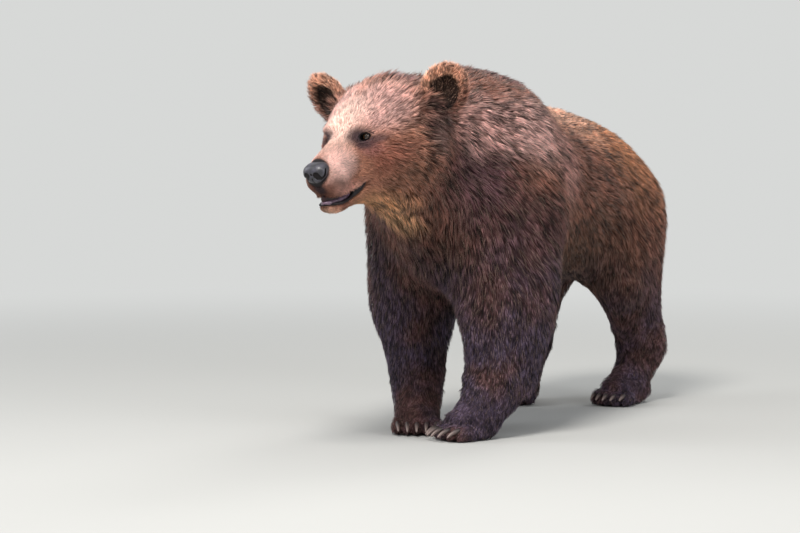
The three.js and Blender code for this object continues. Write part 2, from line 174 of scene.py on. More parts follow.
def finish_bmesh(name, bm, smooth=True):
    mesh = bpy.data.meshes.new(name)
    bm.to_mesh(mesh)
    bm.free()
    mesh.polygons.foreach_set("use_smooth", [smooth] * len(mesh.polygons))
    return make_object(name, mesh)


floor_bmesh = bmesh.new()
bmesh.ops.create_circle(floor_bmesh, cap_ends=True, radius=FLOOR_RADIUS, segments=64)
floor = finish_bmesh("floor", floor_bmesh, smooth=False)
floor_material, floor_shader, wire = material("studio_floor")
set_sockets(floor_shader, {"Base Color": linear(*FLOOR_COLOUR), "Roughness": 0.9})
place = wire.object_place()
reach = wire.node("ShaderNodeVectorMath", {0: place}, output="Value", operation="LENGTH")
seen = wire.node("ShaderNodeLightPath", {}, output="Is Camera Ray")
glow = wire.node("ShaderNodeEmission", {"Color": BACKGROUND})
faded = wire.node(
    "ShaderNodeMixShader",
    {0: reach.step(*FLOOR_CLEAR) * seen, 1: Wire(wire.tree, floor_shader.outputs[0]), 2: glow},
)
connect(faded, wire.tree.nodes["Material Output"], "Surface")
floor.data.materials.append(floor_material)

world = bpy.data.worlds.new("studio_sky")
bpy.context.scene.world = world
world.use_nodes = True
sky = Wire(world.node_tree, None)
SKY_COLOUR = (0.93, 0.97, 1.0, 1)
SKY_STRENGTH = 0.5
path = world.node_tree.nodes.new("ShaderNodeLightPath").outputs
direct = Wire(world.node_tree, path["Is Camera Ray"]) + Wire(world.node_tree, path["Is Glossy Ray"])
direct = direct.maths("MAXIMUM", direct, Wire(world.node_tree, path["Is Transmission Ray"])).clamped()
shown = sky.node("ShaderNodeBackground", {"Color": BACKGROUND, "Strength": 1.0})
lighting = sky.node("ShaderNodeBackground", {"Color": SKY_COLOUR, "Strength": SKY_STRENGTH})
both = sky.node("ShaderNodeMixShader", {0: direct, 1: lighting, 2: shown})
connect(both, world.node_tree.nodes["World Output"], "Surface")


def lamp(name, place, target, size, power, colour):
    data = bpy.data.lights.new(name, "AREA")
    data.shape = "DISK"
    data.size = size
    data.energy = power
    data.color = colour
    made = bpy.data.objects.new(name, data)
    made.location = place
    made.rotation_euler = (Vector(target) - Vector(place)).to_track_quat("-Z", "Y").to_euler()
    bpy.context.scene.collection.objects.link(made)


lamp("key_lamp", (0.6, -3.9, 5.0), (0, -0.3, 0.6), 2.0, 380, (1.0, 0.97, 0.93))
lamp("side_lamp", (5.0, -1.6, 2.6), (0, 0, 0.6), 2.4, 70, (0.96, 0.97, 1.0))
lamp("far_lamp", (-4.6, -1.6, 3.0), (0, 0, 0.6), 2.4, 70, (0.95, 0.97, 1.0))
lamp("back_lamp", (0.5, 5.0, 4.8), (0, 0.2, 0.7), 2.4, 120, (1.0, 0.98, 0.95))

# ---- Frame of the head ---------------------------------------------------------------------------
# The face is shaped in a frame of its own: origin between the eyes, +X to the bear's left, -Y
# towards the nose, +Z up through the forehead. The eyes and the nose fix it.

EYE_SET_BACK = 8 * MM  # the eyes' centres lie behind the frame's origin
NOSE_FROM_EYES = Vector((0, -159 * MM, -66 * MM))


def middle(node):
    low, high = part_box(node)
    return (low + high) / 2


across = (middle("left_eye") - middle("right_eye")).normalized()
between_eyes = (middle("left_eye") + middle("right_eye")) / 2
to_nose = middle("nose") - between_eyes
to_nose = (to_nose - across * to_nose.dot(across)).normalized()
upright = across.cross(to_nose)
share_y = NOSE_FROM_EYES.y / NOSE_FROM_EYES.length
share_z = NOSE_FROM_EYES.z / NOSE_FROM_EYES.length
head_y = share_y * to_nose - share_z * upright
head_z = share_z * to_nose + share_y * upright
head_frame = Matrix((across, head_y, head_z)).transposed().to_4x4()
head_frame.translation = between_eyes - EYE_SET_BACK * head_y
HEAD_AXES = np.array(head_frame.to_3x3())  # columns are the frame's axes
HEAD_ORIGIN = np.array(head_frame.translation)


def to_head(places):
    return (places - HEAD_ORIGIN) @ HEAD_AXES


def from_head(places):
    return places @ HEAD_AXES.T + HEAD_ORIGIN


# ---- Skin ----------------------------------------------------------------------------------------
# One skin covers the whole body, from the lips to the tail. It starts as the flesh solids fused
# into one surface, finer on the head and the paws, and then sinks by the depth of the coat.

LEGS = {
    "front_left": ("upper_leg", "forearm", "paw"),
    "front_right": ("upper_leg", "forearm", "paw"),
    "hind_left": ("thigh", "shank", "paw"),
    "hind_right": ("thigh", "shank", "paw"),
}
EARS = ["left_ear", "right_ear"]
HEAD_FLESH = ["head", "muzzle", "lower_jaw", *EARS]
PAWS = [f"{leg}_paw" for leg in LEGS]
FLESH = [*HEAD_FLESH, "neck", "trunk", "tail"]
FLESH += [f"{leg}_{part}" for leg, parts in LEGS.items() for part in parts]
SKIN_CELL = 5 * MM
SKIN_KEPT = 0.24  # share of the faces that stays where the skin is coarse

solid_bmesh = bmesh.new()
solid_owner = []  # the node that each face of the joined solids comes from
for name in FLESH + ["nose"]:
    solid_bmesh.from_mesh(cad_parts[name].data)
    solid_owner += [name] * (len(solid_bmesh.faces) - len(solid_owner))
solid_tree = BVHTree.FromBMesh(solid_bmesh)
bmesh.ops.remove_doubles(solid_bmesh, verts=solid_bmesh.verts, dist=0.01 * MM)
skin = finish_bmesh("bear_skin", solid_bmesh)


def apply_modifiers(piece):
    """Turns a piece's modifiers into its mesh."""
    bpy.context.view_layer.update()
    evaluated = piece.evaluated_get(bpy.context.evaluated_depsgraph_get())
    mesh = bpy.data.meshes.new_from_object(evaluated)
    piece.modifiers.clear()
    old = piece.data
    piece.data = mesh
    bpy.data.meshes.remove(old)


def read_places(mesh):
    places = np.empty(3 * len(mesh.vertices))
    mesh.vertices.foreach_get("co", places)
    return places.reshape(-1, 3)


def write_places(mesh, places):
    mesh.vertices.foreach_set("co", places.ravel())
    mesh.update()


def read_normals(mesh):
    normals = np.empty(3 * len(mesh.vertices), np.float32)
    mesh.vertex_normals.foreach_get("vector", normals)
    return normals.reshape(-1, 3).astype(float)


def add_attribute(mesh, name, values):
    """A number, or a vector, kept at every vertex."""
    kind, key = ("FLOAT", "value") if values.ndim == 1 else ("FLOAT_VECTOR", "vector")
    mesh.attributes.new(name, kind, "POINT").data.foreach_set(key, values.ravel().astype(np.float32))


def unit(vectors):
    return vectors / np.maximum(np.linalg.norm(vectors, axis=1), 1e-9)[:, None]


def near_box(places, nodes, reach):
    """1 inside the boxes of the named nodes, falling to 0 at a distance from them."""
    share = np.zeros(len(places))
    for node in nodes:
        low, high = (np.array(corner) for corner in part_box(node))
        outside = np.maximum(np.maximum(low - places, places - high), 0)
        share = np.maximum(share, 1 - np.linalg.norm(outside, axis=1) / reach)
    return np.clip(share, 0, 1)


remesh = skin.modifiers.new("fuse", "REMESH")
remesh.mode = "VOXEL"
remesh.voxel_size = SKIN_CELL
apply_modifiers(skin)

FINE_REACH = 0.03  # how far round the head and the paws the skin stays fine
group = skin.vertex_groups.new(name="coarse")
for index, share in enumerate(near_box(read_places(skin.data), HEAD_FLESH + PAWS, FINE_REACH)):
    group.add([index], 1 - share, "REPLACE")
decimate = skin.modifiers.new("coarsen", "DECIMATE")
decimate.ratio = SKIN_KEPT
decimate.vertex_group = "coarse"
apply_modifiers(skin)
skin.vertex_groups.clear()

# The coat's lie and depth are set at places on the body, and run smoothly from one to the next.
# A place on the body is a share of a node's box; one on the head is in its frame, millimetres,
# and holds for both sides. Each has the way the hair points, and the coat's depth in millimetres.
BODY_LIE = [
    ("neck", (0.5, 0.4, 1.0), (0, 1, 0.1), 27),
    ("neck", (0.0, 0.5, 0.55), (-0.1, 0.8, -0.6), 28),
    ("neck", (1.0, 0.5, 0.55), (0.1, 0.8, -0.6), 28),
    ("neck", (0.5, 0.4, 0.0), (0, 0.45, -0.9), 28),
    ("trunk", (0.5, 0.3, 1.0), (0, 1, -0.05), 26),
    ("trunk", (0.5, 0.55, 0.8), (0, 1, -0.1), 23),
    ("trunk", (0.5, 0.85, 0.7), (0, 0.9, -0.4), 23),
    ("trunk", (0.5, 1.0, 0.35), (0, 0.15, -1), 22),
    ("trunk", (0.0, 0.25, 0.55), (0, 0.65, -0.75), 27),
    ("trunk", (1.0, 0.25, 0.55), (0, 0.65, -0.75), 27),
    ("trunk", (0.0, 0.58, 0.5), (0, 0.85, -0.55), 26),
    ("trunk", (1.0, 0.58, 0.5), (0, 0.85, -0.55), 26),
    ("trunk", (0.1, 0.85, 0.45), (0, 0.6, -0.8), 24),
    ("trunk", (0.9, 0.85, 0.45), (0, 0.6, -0.8), 24),
    ("trunk", (0.5, 0.0, 0.35), (0, 0.15, -1), 25),
    ("trunk", (0.5, 0.3, 0.0), (0, 0.8, -0.6), 22),
    ("trunk", (0.5, 0.65, 0.0), (0, 0.9, -0.4), 22),
    ("tail", (0.5, 0.8, 0.4), (0, 0.25, -1), 15),
]
for leg, (upper, lower, paw) in LEGS.items():
    toes = np.mean([middle(f"{leg}_claw_{i}") for i in range(1, 6)], axis=0)
    forward = toes - np.array(middle(f"{leg}_{paw}"))
    forward /= np.hypot(forward[0], forward[1])
    BODY_LIE += [
        (f"{leg}_{upper}", (0.5, 0.5, 0.6), (0, 0.4, -0.9), 23),
        (f"{leg}_{lower}", (0.5, 0.05, 0.6), (0, 0.05, -1), 14),
        (f"{leg}_{lower}", (0.5, 0.95, 0.6), (0, 0.5, -0.85), 19),
        (f"{leg}_{lower}", (0.5, 0.4, 0.0), (0, 0.15, -1), 10),
        (f"{leg}_{paw}", (0.5, 0.55, 1.0), (0.5 * forward[0], 0.5 * forward[1], -0.85), 8),
        (f"{leg}_{paw}", (0.5, 0.5, 0.0), (0.3 * forward[0], 0.3 * forward[1], -0.95), 7),
        (f"{leg}_claw_3", (0.5, 0.5, 0.9), (0.85 * forward[0], 0.85 * forward[1], -0.5), 4),
    ]
COAT_DEPTH = 0.72
SUNK_SHARE = (0.5, 0.75)  # of the depth, on body and head: the tips stand a little proud
BODY_REACH = 85 * MM
HEAD_LIE = [
    ((0, -118, -36), (0, 1, 0.3), 2.2),
    ((0, -70, -8), (0, 1, 0.35), 3),
    ((0, -30, 28), (0, 0.8, 0.7), 4.5),
    ((0, 20, 74), (0, 0.85, 0.6), 7),
    ((0, 90, 112), (0, 1, 0.2), 11),
    ((0, 190, 136), (0, 1, -0.05), 20),
    ((46, -16, 24), (0.35, 0.7, 0.6), 4),
    ((34, -30, -4), (0.3, 0.8, 0.3), 2.8),
    ((62, -10, -24), (0.45, 0.85, -0.25), 3),
    ((80, 6, 4), (0.5, 0.85, 0.15), 4.5),
    ((78, 40, 50), (0.35, 0.9, 0.35), 9),
    ((100, 120, 80), (0.3, 0.95, 0.2), 13),
    ((40, -100, -60), (0.25, 1, -0.1), 2.4),
    ((38, -126, -92), (0.45, 0.75, -0.5), 2.2),
    ((12, -150, -108), (0.3, 0.1, -0.95), 1.6),
    ((48, -70, -110), (0.2, 0.85, -0.55), 3),
    ((62, -20, -72), (0.3, 0.95, -0.2), 4.5),
    ((66, 10, -108), (0.2, 0.95, -0.3), 5),
    ((104, 60, -40), (0.25, 0.95, -0.35), 12),
    ((92, 70, -110), (0.15, 0.85, -0.6), 14),
    ((0, -96, -176), (0, 0.8, -0.6), 4),
    ((18, -126, -158), (0.2, 0.1, -1), 2.5),
    ((44, -40, -152), (0.2, 0.9, -0.4), 4.5),
    ((0, 0, -180), (0, 0.9, -0.5), 8),
    ((0, 90, -190), (0, 0.75, -0.75), 18),
    ((140, 150, -40), (0.1, 0.85, -0.5), 19),
    ((90, 170, -150), (0.05, 0.7, -0.75), 22),
]
HEAD_REACH = 20 * MM
EAR_DEPTH = 7 * MM
BARE_DEPTH = 0.6 * MM


def in_box(node, share):
    low, high = (np.array(corner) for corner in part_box(node))
    return low + (high - low) * np.array(share)


lie_places = [in_box(node, share) for node, share, way, depth in BODY_LIE]
lie_ways = [np.array(way, float) for node, share, way, depth in BODY_LIE]
lie_depths = [depth * COAT_DEPTH * MM for node, share, way, depth in BODY_LIE]
lie_reaches = [BODY_REACH] * len(BODY_LIE)
for place, way, depth in HEAD_LIE:
    for side in (1, -1) if place[0] else (1,):
        mirror = np.array((side, 1, 1))
        lie_places.append(from_head(np.array(place) * mirror * MM))
        lie_ways.append(HEAD_AXES @ (np.array(way) * mirror))
        lie_depths.append(depth * MM)
        lie_reaches.append(HEAD_REACH)
lie_places, lie_ways = np.array(lie_places), np.array(lie_ways)
lie_depths, lie_reaches = np.array(lie_depths), np.array(lie_reaches)
lie_ways /= np.linalg.norm(lie_ways, axis=1)[:, None]


def lie_of_coat(places):
    """The way the hair points, and the depth of the coat, at each place."""
    away = np.linalg.norm(places[:, None, :] - lie_places[None, :, :], axis=2)
    weights = (1 + (away / lie_reaches) ** 2) ** -2.5
    weights /= weights.sum(axis=1)[:, None]
    return weights @ lie_ways, weights @ lie_depths


# The dish of each ear is painted dark inside, as the shade in its hollow, and its hair is short.
EAR_AT = (160, 192, 42)
EAR_YAW = {"left_ear": 0.42, "right_ear": -0.18}  # radians, in the head's frame
EAR_PITCH, EAR_ROLL = 0.22, 0.52
EAR_MIDDLE = 40  # the dish's middle above the ear's root, millimetres
EAR_DISH = (41, 54)  # half its width and height
EAR_NEAR = 60  # nothing further in front of or behind the ear belongs to it, millimetres
DISH_EDGE = 0.3  # the dish's soft edge, as a share of its radius
DISH_FACING = (2, 1.4)  # how soon the dish begins as the surface turns to the front
ear_frames = []
for name, side in (("left_ear", 1), ("right_ear", -1)):
    turn = Matrix.Rotation(EAR_YAW[name], 4, "Z") @ Matrix.Rotation(EAR_PITCH, 4, "X")
    turn = turn @ Matrix.Rotation(side * EAR_ROLL, 4, "Y")
    ear_at = Matrix.Translation(Vector((side * EAR_AT[0], EAR_AT[1], EAR_AT[2])) * MM)
    ear_frames.append((name, np.array(head_frame @ ear_at @ turn)))


def dish_of_ear(places, normals):
    """1 deep in the dish of an ear, 0 on its rim, its back and everywhere else."""
    share = np.zeros(len(places))
    for name, ear in ear_frames:
        inside = (places - ear[:3, 3]) @ ear[:3, :3] / MM
        facing = -normals @ ear[:3, 1]
        across = np.hypot(inside[:, 0] / EAR_DISH[0], (inside[:, 2] - EAR_MIDDLE) / EAR_DISH[1])
        here = np.clip((1.0 - across) / DISH_EDGE, 0, 1)
        here = here * np.clip(facing * DISH_FACING[0] + DISH_FACING[1], 0, 1)
        share = np.maximum(share, here * (np.abs(inside[:, 1]) < EAR_NEAR))
    return share


# The lips part along two curves in the head's plane of symmetry, and meet at the corners.
LIP_CORNER = (-8 * MM, -112 * MM)
along_lip = np.linspace(0, 1, 13)
lip_y = np.array([-150, -110, -30, -8]) * MM
upper_lip_z = np.array([-131, -141, -135, -112]) * MM
lower_lip_z = np.array([-146, -156, -147, -112.3]) * MM


def bezier(points, t):
    a, b, c, d = points
    return a * (1 - t) ** 3 + 3 * b * t * (1 - t) ** 2 + 3 * c * t**2 * (1 - t) + d * t**3


def lip_heights(y):
    """The heights of the upper and the lower lip at a distance along the head."""
    known = bezier(lip_y, along_lip)
    upper = np.interp(y, known, bezier(upper_lip_z, along_lip))
    lower = np.interp(y, known, bezier(lower_lip_z, along_lip))
    return upper, lower


LIP_BARE = (2.5 * MM, 8 * MM)  # hairless rim of the upper and the lower lip
EYE_BARE = (15.5 * MM, 10 * MM)  # half the width and height of the bare skin round an eye
NOSE_BARE = 36 * MM  # reach of the bare skin round the middle of the nose
SOLE_HEIGHT = 9 * MM
EYE_LOCAL = np.array((53, -4, 0)) * MM
NOSE_AT = (0, -151, -66)
MOUTH_SPAN = 80 * MM  # the mouth lies within this distance of the head's middle
EYE_SPAN = 60 * MM


def bareness(places):
    """1 on lips, nose, eyelids and soles and inside the mouth, 0 in the coat."""
    local = to_head(places)
    upper, lower = lip_heights(local[:, 1])
    beyond_lips = np.maximum(local[:, 2] - upper - LIP_BARE[0], lower - local[:, 2] - LIP_BARE[1])
    behind_corner = np.hypot(local[:, 1] - LIP_CORNER[0], local[:, 2] - LIP_CORNER[1])
    from_mouth = np.where(local[:, 1] < LIP_CORNER[0], beyond_lips, behind_corner - LIP_BARE[0])
    from_mouth = np.where(np.abs(local[:, 0]) < MOUTH_SPAN, from_mouth, 1)
    mouth = np.clip((1.5 * MM - from_mouth) / (2.5 * MM), 0, 1)
    from_nose = np.linalg.norm(local - np.array(NOSE_AT) * MM, axis=1)
    nose = np.clip((NOSE_BARE + 3 * MM - from_nose) / (4 * MM), 0, 1)
    sole = np.clip((SOLE_HEIGHT - places[:, 2]) / (4 * MM), 0, 1)
    outwards = (np.abs(local[:, 0]) - EYE_LOCAL[0]) * 0.9 + (local[:, 1] - EYE_LOCAL[1]) * 0.44
    slanted = local[:, 2] - 0.2 * outwards
    from_eye = np.hypot(outwards / EYE_BARE[0], slanted / EYE_BARE[1])
    eye = np.clip((1.1 - from_eye) / 0.15, 0, 1) * (np.abs(local[:, 1] - EYE_LOCAL[1]) < EYE_SPAN)
    return np.max((mouth, nose, sole, eye), axis=0)


# Refine the skin round the eyes, the mouth and the nose.
REFINE_REACH = 34 * MM  # round the eyes
REFINE_MOUTH = (20 * MM, 14 * MM, 12 * MM)  # back to here, and above and below the lips
REFINE_NOSE = -112 * MM  # in front of here
REFINE_HALF = 90 * MM
face_bmesh = bmesh.new()
face_bmesh.from_mesh(skin.data)
local = to_head(read_places(skin.data))
local[:, 0] = np.abs(local[:, 0])
upper, lower = lip_heights(local[:, 1])
at_mouth = (local[:, 1] < REFINE_MOUTH[0]) & (local[:, 2] < upper + REFINE_MOUTH[1])
at_mouth &= local[:, 2] > lower - REFINE_MOUTH[2]
at_eye = np.linalg.norm(local - EYE_LOCAL, axis=1) < REFINE_REACH
at_nose = local[:, 1] < REFINE_NOSE
fine = (at_mouth | at_eye | at_nose) & (local[:, 0] < REFINE_HALF)
edges = [e for e in face_bmesh.edges if fine[e.verts[0].index] and fine[e.verts[1].index]]
bmesh.ops.subdivide_edges(face_bmesh, edges=edges, cuts=1, use_grid_fill=True)
bmesh.ops.triangulate(face_bmesh, faces=face_bmesh.faces)
face_bmesh.to_mesh(skin.data)
face_bmesh.free()
local = to_head(read_places(skin.data))
local[:, 0] = np.abs(local[:, 0])


def edge_array(mesh):
    edges = np.empty(2 * len(mesh.edges), np.int64)
    mesh.edges.foreach_get("vertices", edges)
    return edges.reshape(-1, 2).T


def neighbour_mean(values, a, b):
    """The mean of each vertex's neighbours."""
    total = np.zeros_like(values)
    for axis in range(values.shape[1]):
        total[:, axis] = np.bincount(a, values[b, axis], len(values))
        total[:, axis] += np.bincount(b, values[a, axis], len(values))
    count = np.bincount(a, minlength=len(values)) + np.bincount(b, minlength=len(values))
    return total / count[:, None]


# Smooth away the solids' facets: most on the trunk, least on the lips and the toes.
SMOOTH_PASSES = 45
SMOOTH_PUSHES = (0.6, -0.62)  # in, and out again, so that the form doesn't shrink
HEAD_FIRMNESS = 0.72  # how much less the head is smoothed
FINE_AMOUNT = 0.1  # all that the lips and the toes are smoothed
skin_places = read_places(skin.data)
first, second = edge_array(skin.data)
on_head = near_box(skin_places, HEAD_FLESH, 0.05)
on_paws = near_box(skin_places, PAWS, 0.04)
on_lips = bareness(skin_places) * (np.linalg.norm(local - EYE_LOCAL, axis=1) > REFINE_REACH)
amount = 1 - HEAD_FIRMNESS * on_head
amount = amount - (amount - FINE_AMOUNT) * np.maximum(on_paws, on_lips)
for turn in range(SMOOTH_PASSES):
    for push in SMOOTH_PUSHES:
        step = neighbour_mean(skin_places, first, second) - skin_places
        skin_places += push * amount[:, None] * step

# Fill the crease where the throat meets the neck.
CREASES = [((0, 110, -205), (90, 70, 45)), ((-20, 215, -245), (120, 70, 50))]
CREASE_PASSES = 80
CREASE_PUSH = 0.8
local = to_head(skin_places)
in_crease = np.zeros(len(local))
for place, reach in CREASES:  # in the head's frame, millimetres
    in_crease = np.maximum(in_crease, np.exp(-(((local / MM - place) / reach) ** 2).sum(axis=1)))
# A corner on the crest of the hump is eased in the same passes. Its place is in the
# scene's own millimetres.
CREST, CREST_REACH, CREST_EASE = (-12, -72, 1008), 45, 0.3
from_crest = np.linalg.norm(skin_places / MM - CREST, axis=1)
in_crease = np.maximum(in_crease, CREST_EASE * np.exp(-((from_crest / CREST_REACH) ** 2)))
for turn in range(CREASE_PASSES):
    step = neighbour_mean(skin_places, first, second) - skin_places
    skin_places += CREASE_PUSH * in_crease[:, None] * step

# Forms of the face, in the head's frame in millimetres: centre, radius and height, both sides.
FACE_FORMS = [
    ((36, -20, -8), 13, -3.5),  # hollow in the inner corner of the eye
    ((60, -6, -26), 18, -2.5),  # hollow under the eye
    ((50, -4, 25), 17, 2.5),  # brow
    ((84, 18, -30), 24, 3),  # cheekbone
    ((52, -40, -66), 20, -3.5),  # groove between muzzle and cheek
    ((0, 20, 68), 15, -2.5),  # furrow of the forehead
    ((36, -124, -86), 18, 2),  # whisker pad
    ((31, -136, -62), 9, -2.5),  # behind the wing of the nose
    ((0, -128, -158), 12, 1.5),  # chin
]
write_places(skin.data, skin_places)
normals = read_normals(skin.data)
local = to_head(skin_places)


def swell(places, forms, scale):
    """The sum of soft bumps and hollows at each place. A form off the middle is on both sides."""
    total = np.zeros(len(places))
    for place, radius, height in forms:
        for side in (1, -1) if place[0] else (1,):
            away = np.linalg.norm(places - np.array(place) * (side, 1, 1) * scale, axis=1)
            total += height * scale * np.exp(-((away / (radius * scale)) ** 2))
    return total


rise = swell(local, FACE_FORMS, MM)

# Forms of the body: node, place in its box, reach and height in millimetres.
BODY_FORMS = [
    ("trunk", (0.58, 0.18, 0.98), 150, 13),  # crest of the hump
    ("front_right_forearm", (0.95, 0.35, 0.8), 80, 24),  # long hair at the elbows' inner sides
    ("front_left_forearm", (0.15, 0.15, 0.85), 80, 22),
]
for node, share, reach, height in BODY_FORMS:
    away = np.linalg.norm(skin_places - in_box(node, share), axis=1)
    rise += height * MM * np.exp(-((away / (reach * MM)) ** 2))

# Sink the skin by the depth of the coat, and further under the nose, which covers it.
NOSE_BED = 3 * MM
NOSE_BED_REACH = 27 * MM
NOSE_BED_EDGE = 6 * MM
way, depth = lie_of_coat(skin_places)
on_ears = near_box(skin_places, EARS, 0.012)
dish = dish_of_ear(skin_places, normals) * on_ears
depth = depth + (EAR_DEPTH * (1 - 0.7 * dish) - depth) * on_ears
bare = bareness(skin_places)
depth = depth + (BARE_DEPTH - depth) * bare
from_nose = np.linalg.norm(local - np.array(NOSE_AT) * MM, axis=1)
depth = depth + NOSE_BED * np.clip((NOSE_BED_REACH - from_nose) / NOSE_BED_EDGE, 0, 1)
sunk_share = SUNK_SHARE[0] + (SUNK_SHARE[1] - SUNK_SHARE[0]) * on_head
skin_places += normals * (rise - depth * sunk_share)[:, None]
write_places(skin.data, skin_places)
add_attribute(skin.data, "bare", bare)
# The skin keeps the dish as well, for the painted shade of each ear's hollow.
add_attribute(skin.data, "dish", dish)
skin.data.polygons.foreach_set("use_smooth", [True] * len(skin.data.polygons))
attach(skin, "root")
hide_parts(*FLESH)
skin.data.calc_loop_triangles()
triangles = np.empty(3 * len(skin.data.loop_triangles), np.int64)
skin.data.loop_triangles.foreach_get("vertices", triangles)
triangles = triangles.reshape(-1, 3)
skin_tree = BVHTree.FromPolygons(skin_places.tolist(), triangles.tolist())

# ---- Markings ------------------------------------------------------------------------------------
# Skin and coat read their colour from the same markings: a base brown, with soft patches laid over
# it. A patch is an ellipsoid round a place, on the body or in the head's frame on both sides.

BASE_BROWN = (0.57, 0.385, 0.325)
BODY_PATCHES = [
    # node, place in its box, radii, colour, strength
    ("trunk", (0.5, 0.85, 0.8), (0.5, 0.55, 0.36), (0.86, 0.60, 0.42), 0.9),
    # The top of the back and the crest of the hump: partly the coat's own colour, partly painted light from
    # above.
    ("trunk", (0.5, 0.52, 0.88), (0.34, 0.32, 0.2), (1.0, 0.78, 0.66), 0.9),
    ("trunk", (0.5, 0.27, 1.0), (0.24, 0.2, 0.11), (0.55, 0.40, 0.43), 0.85),
    ("neck", (1.0, 0.4, 0.4), (0.15, 0.2, 0.17), (0.41, 0.29, 0.32), 0.9),
    ("neck", (0.0, 0.4, 0.4), (0.15, 0.2, 0.17), (0.41, 0.29, 0.32), 0.9),
    # Pale lavender patches on the shoulders and the sides of the neck: partly the coat's frosted tips,
    # partly painted sheen.
    ("trunk", (0.9, 0.15, 0.74), (0.12, 0.19, 0.12), (0.92, 0.75, 0.72), 0.85),
    ("trunk", (0.1, 0.15, 0.74), (0.12, 0.19, 0.12), (0.92, 0.75, 0.72), 0.85),
    ("trunk", (0.94, 0.3, 0.6), (0.14, 0.15, 0.12), (0.76, 0.57, 0.54), 0.8),
    ("trunk", (0.06, 0.3, 0.6), (0.14, 0.15, 0.12), (0.76, 0.57, 0.54), 0.8),
    ("neck", (0.95, 0.52, 0.74), (0.09, 0.16, 0.1), (0.88, 0.70, 0.67), 0.8),
    ("neck", (0.05, 0.52, 0.74), (0.09, 0.16, 0.1), (0.88, 0.70, 0.67), 0.8),
    ("neck", (0.36, 0.14, 0.2), (0.1, 0.1, 0.065), (1.0, 0.79, 0.60), 0.85),
    # The low front of the chest and the belly are darker: partly the coat's own colour, partly painted shade
    # under the body.
    ("trunk", (0.5, 0.0, 0.15), (0.16, 0.2, 0.2), (0.27, 0.18, 0.155), 0.85),
    ("trunk", (0.5, 0.5, 0.0), (0.5, 0.6, 0.33), (0.34, 0.25, 0.18), 0.85),
    ("front_left_upper_leg", (0.7, 0.3, 0.5), (0.2, 0.24, 0.24), (0.34, 0.24, 0.26), 0.85),
    # Painted shade: the far, right foreleg is darker than the near one.
    ("front_right_upper_leg", (0.3, 0.3, 0.5), (0.2, 0.24, 0.24), (0.22, 0.15, 0.165), 0.85),
    ("front_right_forearm", (0.3, 0.3, 0.3), (0.14, 0.2, 0.24), (0.20, 0.15, 0.175), 0.8),
]
# The violet among the brown of the legs is painted sheen.
DARK_LEGS = ((0.43, 0.31, 0.31), (0.36, 0.31, 0.39))  # brown, and the violet among it
DARK_LEG_HEIGHTS = (0.56, 0.16)  # the hind legs darken between these heights
FORELEG_RISE = 0.10  # and the forelegs this much further up
HEAD_PATCHES = [
    # place and radii in millimetres, colour, strength
    ((0, 60, 10), (190, 220, 200), (0.76, 0.54, 0.44), 0.95),
    # Paler on the crown and the forehead: partly the coat's own colour, partly painted light from above.
    ((60, 60, 70), (100, 130, 90), (0.90, 0.73, 0.70), 0.9),
    ((0, -20, 40), (64, 150, 90), (0.99, 0.86, 0.81), 0.9),
    ((30, -100, -60), (50, 76, 56), (0.99, 0.84, 0.80), 0.9),
    ((44, -80, -116), (40, 70, 26), (0.82, 0.63, 0.58), 0.8),
    ((96, 40, -56), (66, 74, 58), (0.64, 0.40, 0.33), 0.85),
    ((110, 90, -110), (70, 90, 70), (0.60, 0.42, 0.34), 0.8),
    # Painted shadow below and behind each ear.
    ((150, 180, -5), (62, 66, 90), (0.42, 0.31, 0.30), 0.85),
    ((0, 230, 120), (130, 90, 60), (0.62, 0.47, 0.47), 0.9),
    ((0, 60, -200), (120, 170, 80), (0.94, 0.72, 0.53), 0.8),
    ((0, 110, -290), (90, 110, 70), (0.84, 0.63, 0.49), 0.7),
    ((0, -118, -168), (36, 36, 20), (0.84, 0.67, 0.58), 0.85),
    ((160, 162, 58), (26, 28, 22), (0.27, 0.18, 0.17), 0.85),
    ((136, 256, 3), (44, 54, 56), (0.34, 0.26, 0.26), 0.8),
    ((70, -12, -30), (44, 40, 26), (0.60, 0.40, 0.38), 0.8),
    ((88, 4, -10), (38, 32, 13), (0.38, 0.28, 0.29), 0.8),
    ((48, -26, 0), (38, 38, 28), (0.25, 0.18, 0.21), 0.95),
    ((60, -18, -20), (36, 32, 15), (0.30, 0.22, 0.25), 0.85),
    ((0, -152, -108), (23, 26, 36), (0.20, 0.16, 0.19), 0.95),
    ((180, 200, 110), (70, 70, 60), (0.92, 0.70, 0.58), 0.85),
]
# Painted shade deep in the dish of each ear.
DISH_SHADE = (0.13, 0.09, 0.08)
EDGE_NOISE = 0.35  # how far noise shifts the edges of a patch, as a share of its radius


def patch(place, centre, radii, ragged):
    """1 in the middle of an ellipsoid and 0 outside it, with a ragged edge."""
    offset = place.node("ShaderNodeVectorMath", {0: place, 1: tuple(centre)}, operation="SUBTRACT")
    scaled = offset.node("ShaderNodeVectorMath", {0: offset, 1: tuple(radii)}, operation="DIVIDE")
    reach = scaled.node("ShaderNodeVectorMath", {0: scaled}, output="Value", operation="LENGTH")
    return (reach + ragged).step(1.15, 0.35)


